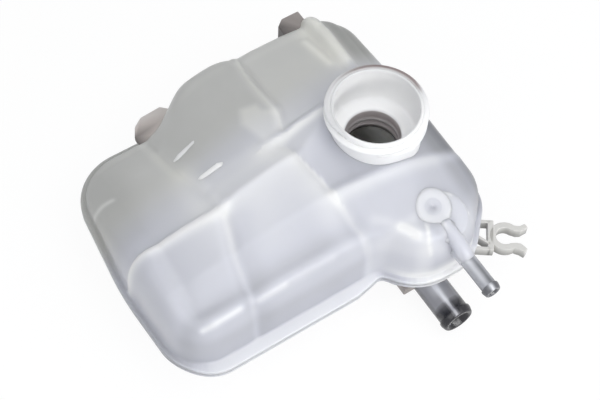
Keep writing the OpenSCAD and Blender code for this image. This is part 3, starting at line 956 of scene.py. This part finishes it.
tray_rings = [ring_at(depth, -z) for depth, z in FLANGE_RINGS]
for z in np.arange(5.5, LOWER_H - TRAY_EDGE_R, 1.5):
    tray_rings.append(ring_at(draft * (z - DRAFT_FROM) / DRAFT_RUN, -z))
for a in np.radians([0, 10, 20, 30, 40, 50, 60, 70, 80, 90]):
    z = -(LOWER_H - TRAY_EDGE_R) - TRAY_EDGE_R * math.sin(a)
    tray_rings.append(ring_at(draft + TRAY_EDGE_R * (1 - math.cos(a)), z))
floor_plan, floor_faces = filled(tray_rings[-1][:, :2], [], TRAY_STEP)
floor_plan = floor_plan[ROUND:]
floor_points = np.column_stack([floor_plan, np.full(len(floor_plan), -LOWER_H)])
tray_outer = np.vstack(tray_rings + [floor_points])
offset = (len(tray_rings) - 1) * ROUND
tray_faces = [tuple(reversed(f)) for f in bands(len(tray_rings), ROUND)]
tray_faces += [tuple(v + offset for v in reversed(f)) for f in floor_faces]
print("tray skin", len(tray_outer), "points, floor at", tray_outer[:, 2].min())

# %% [markdown]
# ## The outlet's way through the wall
#
# Coolant leaves through the outlet spigot, so the wall behind it is open. A boolean would
# need a closed and clean wall. It is simpler to leave out the faces inside the bore, in
# both skins, and to join the two rims with a band of faces.

# %% Tray with its bore
OUTLET_AT = (41, -64, -20)
OUTLET_HOLE = 8.2


def bored(faces, points, middle, radius):
    """Splits faces into those outside a bore along Y and the edges of its rim."""
    kept, rim_edges = [], set()
    for f in faces:
        at = points[list(f)].mean(0)
        if at[1] < middle[1] and math.hypot(at[0] - middle[0], at[2] - middle[2]) < radius:
            for a, b in zip(f, f[1:] + f[:1]):
                rim_edges ^= {(a, b)} if (b, a) not in rim_edges else {(b, a)}
        else:
            kept.append(f)
    return kept, rim_edges


tray_normals = vertex_normals(tray_outer, tray_faces)
tray_faces, bore_rim = bored(tray_faces, tray_outer, OUTLET_AT, OUTLET_HOLE)
points, faces, moved = two_skins(tray_outer, tray_normals, tray_faces, below=True)
faces += [(a, b, b + moved, a + moved) for a, b in bore_rim]
tray = add_mesh("tray_shell", points, faces, milky)
print("tray", len(points), "points", len(faces), "faces")

# %% [markdown]
# ## Tone of the lower shell
#
# The outside of the tray carries the flange's painted shade and light, and is a little
# darker all over. Its inside is painted as light as can be: day comes in through the whole
# milky roof, and a render follows only little of it. Points that lost all their faces to
# the bore are taken out at the end.

# %% Tone of the lower shell
tray_tone = np.zeros(len(points))
shown = points[:, 2] > -FLANGE_T - 0.5
tray_tone[shown] = rim_tone(points[shown, :2], points[shown, 2], tray_tone[shown])
tray_tone -= 0.1
tray_age = age_at(points[:, :2])
inside_from = len(tray_outer) + ROUND
tray_tone[inside_from:] = 1
tray_age[inside_from:] = 1
paint(tray, tray_tone)
paint(tray, tray_age, "age")

shape = bmesh.new()
shape.from_mesh(tray.data)
bmesh.ops.delete(shape, geom=[v for v in shape.verts if not v.link_faces], context="VERTS")
shape.to_mesh(tray.data)
shape.free()
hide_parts("lower_shell")
print("tray points in use", len(tray.data.vertices))

# %% [markdown]
# ## Turned pieces
#
# Neck, dome and spigots are round, so each is a profile swept round an axis. A screw
# modifier does this for one axis at a time. The helper takes any axis, because the dome
# leans forward and the spigots lie flat.

# %% Lathe
def turned(name, profile, origin, axis, material, steps=96):
    """A closed profile of (radius, height) pairs, turned round an axis at the origin."""
    axis = unit(np.array(axis, float))
    helper = np.array([0, 1, 0]) if abs(axis[2]) > 0.9 else np.array([0, 0, 1])
    side = unit(np.cross(helper, axis))
    other = np.cross(axis, side)
    points = []
    for radius, height in profile:
        for k in range(steps):
            a = 2 * math.pi * k / steps
            spoke = side * math.cos(a) + other * math.sin(a)
            points.append(np.array(origin, float) + axis * height + spoke * max(radius, 0.001))
    return add_mesh(name, points, bands(len(profile), steps, closed=True), material)


def tone_turned(obj, origin, tone):
    """Paints a piece by a rule of the place from its origin, in millimetres."""
    at = np.array([v.co for v in obj.data.vertices]) / MM - SHIFT - np.array(origin)
    paint(obj, np.clip(tone(at), -1, 1))


print("a profile of four points gives", len(bands(4, 96, closed=True)), "faces")

# %% [markdown]
# ## Filler neck
#
# The neck is open, so its inside shows: a plain bore for the cap, a flat ledge and a narrow
# seal bore with two rings. It is one closed profile from the tube's foot, up the outside,
# over the rim and down again, because that keeps the wall's thickness real.

# %% Neck
NECK_TOP = 70.0
neck_outside = [
    (16.1, 26), (19.1, 26), (19.1, 40), (27.4, 40), (27.4, 44.5), (27.2, 46.5), (26.8, 48),
    (26.5, 50), (26.4, 53), (26.3, 57), (26.2, 60.2), (26.2, 66), (26.2, 69.2),
]
neck_rim = [(25.9, 69.8), (25.4, NECK_TOP), (24.9, NECK_TOP), (24.5, 69.7), (24.4, 69.2)]
cap_bore = [(24.4, 62), (24.4, 54), (24.4, 45.5), (24.2, 44.4), (23.5, 43.5), (22.4, 43.1)]
ledge = [(19, 43), (17.4, 42.9), (16.5, 42.4), (16.1, 41.4)]
seal_bore = [
    (16.1, 37), (16.1, 35.6), (15.7, 35), (15.7, 33.6), (16.1, 33),
    (16.1, 31), (15.5, 30.2), (15.5, 28.6), (16.1, 28),
]
neck_profile = neck_outside + neck_rim + cap_bore + ledge + seal_bore
neck = turned("neck_tube", neck_profile, (*NECK, 0), (0, 0, 1), neck_white, 128)
print("neck profile", len(neck_profile), "points")

# %% [markdown]
# ## Tone of the neck
#
# The neck is whiter than the roof. Painted light whitens its front, and painted shade
# darkens the thread's groove, its right side, the rim away from the front and the seal
# bore, which keeps two paler rings. A rule of angle, radius and height says this with less
# work than a painted image, and fits the neck and the thread alike.

# %% Tone of the neck
def outside_tone(r, a, z, front):
    """Painted light at the front, painted shade at the right, in the thread's groove and on the rim."""
    right = np.exp(-(((a - 35) / 55) ** 2))
    groove = smooth((z - 63) / 3) * smooth((28.4 - r) / 1.2)
    tone = lerp(0.75, 1.0, front) - 1.5 * right * (1 - front)
    tone = tone - (0.25 + 0.9 * right) * groove * (1 - front)
    return tone - 0.5 * smooth((z - 68) / 1) * (1 - front)


def neck_tone(at):
    r, z = np.hypot(at[:, 0], at[:, 1]), at[:, 2]
    a = np.degrees(np.arctan2(at[:, 1], at[:, 0]))
    front = smooth((-at[:, 1] / r + 0.2) / 0.9)
    # painted light inside, with painted shade at its right, on the rim away from the front and down the seal
    # bore
    inside = 1 - 0.45 * np.exp(-(((a + 5) / 30) ** 2))
    inside = lerp(inside, lerp(0.05, inside, front), smooth((z - 69) / 0.5))
    hole = smooth((42.7 - z) / 0.9) * (r < 17)
    seal_rings = np.exp(-(((z - 34.3) / 0.9) ** 2)) + np.exp(-(((z - 29.4) / 0.8) ** 2))
    inside = lerp(inside, -0.68 + 0.4 * seal_rings, hole)
    return np.where(r > 25.6, outside_tone(r, a, z, front), inside)


tone_turned(neck, (*NECK, 0), neck_tone)
print("neck painted", len(neck.data.vertices), "points")

# %% [markdown]
# ## Thread
#
# The cap's thread is coarse and round topped, with not quite two turns. A screw modifier
# ends it with a flat cut. Here a small section is swept along the helix, and its height
# fades in and out, as the real thread's ends do.

# %% Thread
THREAD_STEPS = 96
THREAD_SECTION = 10
THREAD_SUNK = 0.6


def thread(name, radius, crest, pitch, z_from, turns, start, width, material):
    """A round-topped thread as a sweep along a helix, with faded ends."""
    count = int(THREAD_STEPS * turns)
    section = THREAD_SECTION
    points = []
    for k in range(count + 1):
        t = k / count
        a = start + 2 * math.pi * turns * t
        z = min(z_from + pitch * turns * t, NECK_TOP - width / 2 - 0.1)
        fade_in = min(1, t * turns * 8, (1 - t) * turns * 8)
        h = (crest - radius) * fade_in
        for m in range(section):
            u = m / (section - 1)
            r = radius - THREAD_SUNK + (h + THREAD_SUNK) * math.sin(math.pi * u) ** 0.6
            points.append((NECK[0] + r * math.cos(a), NECK[1] + r * math.sin(a), z + (u - 0.5) * width))
    faces = []
    for k in range(count):
        low, high = k * section, (k + 1) * section
        for m in range(section):
            n = (m + 1) % section
            faces.append((low + m, high + m, high + n, low + n))
    faces.append(tuple(range(section)))
    faces.append(tuple(count * section + m for m in reversed(range(section))))
    return add_mesh(name, points, faces, material)


screw = thread(
    "neck_thread", radius=26.1, crest=29.5, pitch=7.2, z_from=58.4, turns=1.9,
    start=math.radians(-125), width=3.0, material=neck_white,
)
tone_turned(screw, (*NECK, 0), neck_tone)
print("thread", len(screw.data.vertices), "points")

# %% [markdown]
# ## Vent dome and boss
#
# Above the bay stands a low round dome that leans forward, and a smaller boss overlaps its
# upper half. They could be squashed spheres, but their rims have small steps and soft
# corners. A turned profile holds these in a dozen points.

# %% Dome and boss
DOME_TILT = np.radians(18)
dome_axis = np.array([0, -math.sin(DOME_TILT), math.cos(DOME_TILT)])
dome_side = np.array([0, -math.cos(DOME_TILT), -math.sin(DOME_TILT)])
dome_at = np.array([49.5, -69, 37.4])
dome_profile = [
    (0, -9), (12, -9), (15, -5), (15, -1.8), (14.8, -0.8),
    (14.2, 0.1), (13, 0.9), (11.5, 1.3), (10, 1.5), (0, 1.5),
]
dome = turned("vent_dome", dome_profile, dome_at - dome_axis * 1.3, dome_axis, milky)
boss_at = dome_at + np.array([-3.5, 0, 0]) - dome_side * 7.4
boss_profile = [
    (0, -2), (11.6, -2), (11.4, -0.1), (10.9, 0.6), (10.2, 1.2), (9.4, 1.6),
    (8.4, 1.8), (7.2, 1.8), (6.2, 1.7), (5.4, 1.5), (4.6, 1.4), (0, 1.4),
]
boss = turned("vent_boss", boss_profile, boss_at, dome_axis, milky)
print("dome at", dome_at, "boss at", boss_at.round(1))

# %% [markdown]
# ## Vent spigot and its collar
#
# A thin hose for air is pushed on here and held by the bead near the open end. The spigot
# is smoky where it stands free, and a milky collar joins it to the bay. Both are turned
# about the same line to the front.

# %% Vent spigot
VENT_AT = (51.5, -72, 20)
FORWARD = (0, -1, 0)
vent_profile = [
    (2.8, 4), (4.7, 4), (4.7, 12), (4.7, 20), (4.7, 28), (4.7, 34), (4.7, 39.6),
    (5.4, 40.2), (5.4, 41.2), (4.8, 43.6), (4.4, 44), (2.8, 44),
]
vent = turned("vent_spigot", vent_profile, VENT_AT, FORWARD, pale_smoke, 64)
collar_profile = [(3, 0), (5.3, 0), (5.3, 19), (4.9, 20), (3, 20)]
collar = turned("vent_collar", collar_profile, VENT_AT, FORWARD, milky, 64)
print("vent spigot", len(vent.data.vertices), "points")

# %% [markdown]
# ## Duct
#
# Air reaches the spigot through a duct that runs from the dome down the front of the bay.
# A curve object with a bevel could make it. A tube of rings along a Bezier curve stays a
# mesh, and can taper where it leaves the dome.

# %% Duct
def bent_tube(name, corners, radius, material, steps=40, around=40):
    """A tube along a smooth curve that four corners pull on, closed at both ends."""
    a, b, c, d = (np.array(p, float) for p in corners)
    points = []
    for k in range(steps + 1):
        t = k / steps
        at = a * (1 - t) ** 3 + 3 * b * t * (1 - t) ** 2 + 3 * c * t * t * (1 - t) + d * t**3
        run = unit((b - a) * (1 - t) ** 2 + 2 * (c - b) * t * (1 - t) + (d - c) * t * t)
        side = unit(np.cross(run, [0, 0, 1]))
        over = np.cross(side, run)
        r = radius * min(1, 0.6 + t * 6)
        for m in range(around):
            turn = 2 * math.pi * m / around
            points.append(at + r * (side * math.cos(turn) + over * math.sin(turn)))
    faces = bands(steps + 1, around)
    faces += [tuple(reversed(range(around))), tuple(range(steps * around, (steps + 1) * around))]
    return add_mesh(name, points, faces, material)


DUCT_LINE = [(46.5, -70, 35.4), (48.5, -79, 32.2), (50.5, -86.5, 28), (51.5, -91.5, 20)]
duct = bent_tube("vent_duct", DUCT_LINE, 4.6, milky)
print("duct", len(duct.data.vertices), "points")

# %% [markdown]
# ## Outlet spigot
#
# The feed hose is pushed over this large spigot below the weld. It is smoky, and darker at
# its free end. A plain cylinder would look blind from the front, so the bore is left open
# through to the tray.

# %% Outlet spigot
outlet_profile = [
    (7, 2), (9.4, 2), (9.4, 10), (9.4, 16), (9.4, 20), (9.4, 24), (9.4, 28), (9.4, 31),
    (9.4, 34), (9.4, 37.8), (10.2, 38.6), (10.2, 40), (9.5, 42.4), (9, 43), (7, 43),
]
outlet = turned("outlet_spigot", outlet_profile, OUTLET_AT, FORWARD, smoky, 64)
print("outlet spigot", len(outlet.data.vertices), "points")

# %% [markdown]
# ## Tones of the spigots and the dome
#
# Smoky plastic shows one pale streak along its top and dark sides, and both spigots change
# at the tip. The streak is a painted highlight and the dark sides are painted shade. The
# streak could come from a lamp, yet then it would sit on every other piece as well. The milky
# pieces take a flat tone and the painted highlights that cross them.

# %% Tones of the spigots
def around_and_along(at):
    """The angle round a spigot that points to the front, and the place along it."""
    return np.degrees(np.arctan2(at[:, 2], at[:, 0])), -at[:, 1]


def outlet_tone(at):
    a, along = around_and_along(at)
    # painted highlight along the top, painted shade at the sides, and the bore painted dark as shade
    wide = 0.4 * np.exp(-(((a - 112) / 22) ** 2)) * smooth((30 - along) / 10)
    streak = np.exp(-(((a - 104) / 8) ** 2)) + wide
    tip = smooth((along - 32) / 3)
    edge = smooth((np.abs(a - 104) - 50) / 25)
    tone = lerp(0.3, -0.85, tip) - 0.45 * edge - 0.2 * smooth((along - 10) / 14)
    bore = np.hypot(at[:, 0], at[:, 2]) < 9.1
    return np.where(bore, -1, tone + lerp(1.2, 1.7, tip) * streak)


def vent_tone(at):
    a, along = around_and_along(at)
    # painted highlight along the top and painted shade at the sides
    streak = np.exp(-(((a - 118) / 16) ** 2))
    dark = np.exp(-(((a - 78) / 18) ** 2)) * smooth((along - 14) / 6)
    rim = smooth((np.abs(a - 108) - 55) / 20)
    tip = smooth((along - 39.5) / 1)
    tone = lerp(0.45, 0.05, smooth((along - 18) / 8)) + 0.6 * streak - 0.6 * dark - 0.4 * rim
    return lerp(tone, -0.8 + 1.7 * np.exp(-(((a - 100) / 14) ** 2)), tip)


def boss_tone(at):
    return 0.42 - 0.38 * smooth((6 - np.linalg.norm(at - boss_at, axis=1)) / 2)


DATUM = (0, 0, 0)
tone_turned(outlet, OUTLET_AT, outlet_tone)
tone_turned(vent, VENT_AT, vent_tone)
tone_turned(boss, DATUM, boss_tone)
for obj, tone in ((dome, 0.18), (collar, 0.15), (duct, 0.08)):
    tone_turned(obj, DATUM, lambda at: tone + streaks(at, PAINTED_HIGHLIGHTS))
print("spigots, dome, boss and duct painted")

# %% [markdown]
# ## Plates with rounded edges
#
# Clip, key, catch, ear and gussets are flat shapes with a thickness. Each is an outline
# that is extruded, and a bevel modifier rounds its edges, since a moulded edge always
# catches a thin line of light.

# %% Plate helper
def plate(name, outline, z0, z1, material, bevel=0.5, place=None):
    """A flat outline extruded from z0 to z1, with rounded edges."""
    n = len(outline)
    points = [(x, y, z0) for x, y in outline] + [(x, y, z1) for x, y in outline]
    faces = [tuple(reversed(range(n))), tuple(range(n, 2 * n))]
    faces += [(k, (k + 1) % n, n + (k + 1) % n, n + k) for k in range(n)]
    points = np.array(points, float)
    if place is not None:
        points = points @ np.array(place[0]).T + np.array(place[1])
    obj = add_mesh(name, points, faces, material, smooth=False)
    mod = obj.modifiers.new("edges", "BEVEL")
    mod.width = bevel * MM
    mod.segments = 3
    mod.limit_method = "ANGLE"
    mod.angle_limit = math.radians(25)
    obj.data.shade_smooth()
    weighted = obj.modifiers.new("normals", "WEIGHTED_NORMAL")
    weighted.keep_sharp = True
    return obj


def spun(angle):
    """A turn about Z, in degrees."""
    c, s = math.cos(math.radians(angle)), math.sin(math.radians(angle))
    return [[c, -s, 0], [s, c, 0], [0, 0, 1]]


def arc(radius, degrees):
    return [(math.cos(math.radians(a)) * radius, math.sin(math.radians(a)) * radius) for a in degrees]


print("a quarter arc", [tuple(round(c, 1) for c in p) for p in arc(5, (0, 45, 90))])

# %% [markdown]
# ## Hose clip
#
# Two springy prongs hold the vent hose, with lips that spread as it is pushed in. A small
# truss of a bar and three stays carries them. The outline runs round the outer arc, the
# lower lip, the inner arc and the upper lip, so the clip is one plate.

# %% Hose clip
CLIP_R = 5.4
CLIP_T = 3.9
CLIP_DEPTH = 7
CLIP_MOUTH = 55
outer_arc = arc(CLIP_R + CLIP_T, range(CLIP_MOUTH, 360 - CLIP_MOUTH + 1, 5))
inner_arc = arc(CLIP_R, range(360 - CLIP_MOUTH, CLIP_MOUTH - 1, -5))
upper_lip = [(6.6, 3.4), (9.4, 3.6), (13.6, 6.6), (11.8, 9.2), (8.8, 7.4), (6.6, 7.4)]
lower_lip = [(6.6, -8.2), (8.4, -8.6), (11.4, -10.4), (13, -7.6), (9.4, -4.4), (6.6, -4)]
# Each part: its name, its outline and the width of its rounded edge
CLIP_PARTS = [
    ("hose_clip", outer_arc + lower_lip + inner_arc + upper_lip, 0.5),
    ("clip_bar", [(-10.1, -10), (-6.6, -10), (-6.6, 10), (-10.1, 10)], 0.4),
    ("clip_stay_a", [(-19.6, -10), (-8.6, -10), (-8.6, -8), (-19.6, -8)], 0.3),
    ("clip_stay_b", [(-19.6, 8), (-8.6, 8), (-8.6, 10), (-19.6, 10)], 0.3),
    ("clip_stay_c", [(-19.6, 0), (-8.6, -6.9), (-7.7, -5.5), (-18.7, 1.4)], 0.3),
]
clip_place = (spun(-36), (88.5, -83.5, 0))
clip_parts = []
for name, outline, edge in CLIP_PARTS:
    clip_parts.append(plate(name, outline, -CLIP_DEPTH, 0, clip_white, edge, clip_place))
for obj in clip_parts:
    # painted shade: each clip part darkens towards its lower face
    tone_turned(obj, DATUM, lambda at: 0.1 + 0.75 * np.clip(at[:, 2] / CLIP_DEPTH, -1, 0))
print("clip parts", [obj.name for obj in clip_parts])

# %% [markdown]
# ## Key, catch and ear
#
# A small key beside the outlet lines up its hose. The catch at the back edge and
# the ear on the step hold the tank in its bracket, and both are stained. They are plates
# too, each with painted shade towards one edge.

# %% Key, catch and ear
KEY_OUTLINE = [(24, -76), (33, -76), (33, -63), (24, -63)]
CATCH_OUTLINE = [(45, 82), (62, 82), (62, 100), (50, 100), (45, 96)]
EAR_OUTLINE = [(-62, 79), (-62, 87), (-58, 94), (-52, 98), (-38, 99), (-30, 91), (-48, 81)]


def key_tone(at):
    """Painted shade at its left and front edges."""
    return 0.3 - 0.45 * smooth((1 - at[:, 0]) / 1) - 0.3 * smooth((1 - at[:, 1]) / 1)


key = plate("outlet_key", KEY_OUTLINE, -22, -16, ear_pink, 0.8)
catch = plate("back_catch", CATCH_OUTLINE, 18, 30, ear_pink, 0.8)
ear = plate("step_ear", EAR_OUTLINE, 0, 4, ear_pink, 1.0)
tone_turned(key, (24, -76, -22), key_tone)
tone_turned(catch, (45, 82, 18), lambda at: -0.4 - 0.5 * smooth((3 - at[:, 0]) / 3))
tone_turned(ear, (-62, 87, 0), lambda at: 0.45 - 1.3 * smooth((2.5 - at[:, 0]) / 3))
print("key, catch and ear", [len(obj.data.vertices) for obj in (key, catch, ear)])

# %% [markdown]
# ## Gussets
#
# Two small fins stiffen the step between the left back panel and the next. They stand
# upright, so the flat outline is first tipped up by a quarter turn and then spun to the
# way that the fin faces. The front one is painted paler, as it stands in the light.

# %% Gussets
FIN_OUTLINE = [(0, -4), (19, 5), (19, 9.6), (13.5, 11.5), (3, 5), (0, 1)]
FIN_HALF = 1.6
UPRIGHT = np.array([[1, 0, 0], [0, 0, -1], [0, 1, 0]])
# Each gusset: its name, its foot, the way it faces and its tone
GUSSETS = [
    ("gusset_back", (-58, 44.5, 28.5), 0, 0.3),
    ("gusset_front", (-58, 19, 41), -6, 0.95),
]
for name, at, angle, tone in GUSSETS:
    place = (np.array(spun(angle)) @ UPRIGHT, at)
    fin = plate(name, FIN_OUTLINE, -FIN_HALF, FIN_HALF, neck_white, 1.0, place)
    paint(fin, np.full(len(fin.data.vertices), tone))
    print(fin.name, "at", at)

# %% [markdown]
# ## White surroundings
#
# The tank stands on plain white that throws no blue or grey cast. A floor lit only by the
# lamps would turn grey at its edges, and a glowing one would drown the tank in light. So
# floor and world are nearly white for rays that are seen directly or in a mirror, and dim
# for the rays that light the tank.

# %% White surroundings
def seen_directly(tree, share):
    """A socket that is this share for rays of the camera, of mirrors and of glass, else 0."""
    path = tree.nodes.new("ShaderNodeLightPath")
    seen = path.outputs["Is Camera Ray"]
    for ray in ("Is Glossy Ray", "Is Transmission Ray"):
        seen = maths(tree, "MAXIMUM", seen, path.outputs[ray])
    return maths(tree, "MULTIPLY", seen, share)


def mixed(tree, share, first, second, target):
    """Mixes two shaders by how a ray sees them, and joins the result to a target."""
    mix = tree.nodes.new("ShaderNodeMixShader")
    tree.links.new(seen_directly(tree, share), mix.inputs["Fac"])
    tree.links.new(first, mix.inputs[1])
    tree.links.new(second, mix.inputs[2])
    tree.links.new(mix.outputs["Shader"], target)


world = bpy.data.worlds.new("studio")
bpy.context.scene.world = world
world.use_nodes = True
sky = world.node_tree
dim = sky.nodes["Background"]
dim.inputs["Color"].default_value = (0.93, 0.96, 1.0, 1)
dim.inputs["Strength"].default_value = 0.35
white = sky.nodes.new("ShaderNodeBackground")
white.inputs["Color"].default_value = (1, 1, 1, 1)
surface = sky.nodes["World Output"].inputs["Surface"]
mixed(sky, 1.0, dim.outputs["Background"], white.outputs["Background"], surface)
print("world nodes", len(sky.nodes))

# %% [markdown]
# ## Floor
#
# A wide square lies half a millimetre under the tank, so the two never share a plane. Part
# of its glow is left out for direct rays too, which lets the tank's soft shadow show.

# %% Floor
FLOOR_HALF = 3.0
FLOOR_GAP = 0.0005
FLOOR_GLOW = 1.05
FLOOR_SHARE = 0.86
floor_mesh = bpy.data.meshes.new("floor")
floor_corners = [(x * FLOOR_HALF, y * FLOOR_HALF, 0) for x, y in ((-1, -1), (1, -1), (1, 1), (-1, 1))]
floor_mesh.from_pydata(floor_corners, [], [(0, 1, 2, 3)])
floor = bpy.data.objects.new("floor", floor_mesh)
bpy.context.scene.collection.objects.link(floor)
floor.location = (0, 0, -FLOOR_GAP)

floor_mat = bpy.data.materials.new("floor_white")
floor_mat.use_nodes = True
nodes = floor_mat.node_tree.nodes
matt = nodes["Principled BSDF"]
matt.inputs["Base Color"].default_value = (0.8, 0.8, 0.8, 1)
matt.inputs["Roughness"].default_value = 1.0
glow = nodes.new("ShaderNodeEmission")
glow.inputs["Color"].default_value = (1, 1, 1, 1)
glow.inputs["Strength"].default_value = FLOOR_GLOW
surface = nodes["Material Output"].inputs["Surface"]
mixed(floor_mat.node_tree, FLOOR_SHARE, matt.outputs["BSDF"], glow.outputs["Emission"], surface)
floor_mesh.materials.append(floor_mat)
print("floor", 2 * FLOOR_HALF, "m wide")

# %% [markdown]
# ## Light
#
# A large window above gives soft shade, a low strip at the front draws the highlights on
# the shoulder, and a weak fill opens the left side. A single sun lamp would be simpler, but
# its hard shadows would hide the shallow panels.

# %% Lamps
def lamp(name, place, target, power, size_m):
    """A square lamp that points at a target, all in metres of the frame."""
    data = bpy.data.lights.new(name, "AREA")
    data.energy = power
    data.size = size_m
    obj = bpy.data.objects.new(name, data)
    obj.location = place
    obj.rotation_euler = (Vector(target) - Vector(place)).to_track_quat("-Z", "Y").to_euler()
    bpy.context.scene.collection.objects.link(obj)
    return obj


lamp("high_window", (0.2, -0.5, 1.65), (0, 0, 0.05), power=16, size_m=2.0)
strip = lamp("front_strip", (0.25, -1.0, 0.34), (0, 0, 0.04), power=3.5, size_m=1.0)
strip.data.shape = "RECTANGLE"
strip.data.size_y = 0.10
lamp("left_fill", (-1.2, -0.5, 1.2), (0, 0, 0.05), power=6.6, size_m=1.2)
print("lamps", [light.name for light in bpy.data.lights])

# %% [markdown]
# ## Camera
#
# The camera looks from the front left and steeply down, with a small roll. Its angles, its
# distance and its lens were fitted together to the straight edges of the flange and to the
# ellipses of the neck. So they are set as numbers, and not by a track constraint.

# %% Camera
AZIMUTH = math.radians(36)
ELEVATION = math.radians(59)
ROLL = math.radians(3.6)
DISTANCE = 0.795
sin_a, cos_a = math.sin(AZIMUTH), math.cos(AZIMUTH)
sin_e, cos_e = math.sin(ELEVATION), math.cos(ELEVATION)
away = Vector((-sin_a * cos_e, -cos_a * cos_e, sin_e))
right = Vector((cos_a, -sin_a, 0))
up = Vector((sin_a * sin_e, cos_a * sin_e, cos_e))
camera_x = right * math.cos(ROLL) + up * math.sin(ROLL)
camera_y = up * math.cos(ROLL) - right * math.sin(ROLL)

camera_data = bpy.data.cameras.new("camera")
camera_data.lens = 81.0
camera_data.sensor_width = 36.0
camera = bpy.data.objects.new("camera", camera_data)
bpy.context.scene.collection.objects.link(camera)
spot = Vector(SHIFT * MM) + away * DISTANCE
turn = Matrix((camera_x, camera_y, away)).transposed().to_4x4()
camera.matrix_world = Matrix.Translation(spot) @ turn
bpy.context.scene.camera = camera
bpy.context.scene.view_settings.view_transform = "Standard"
print("camera at", tuple(round(c, 3) for c in spot))
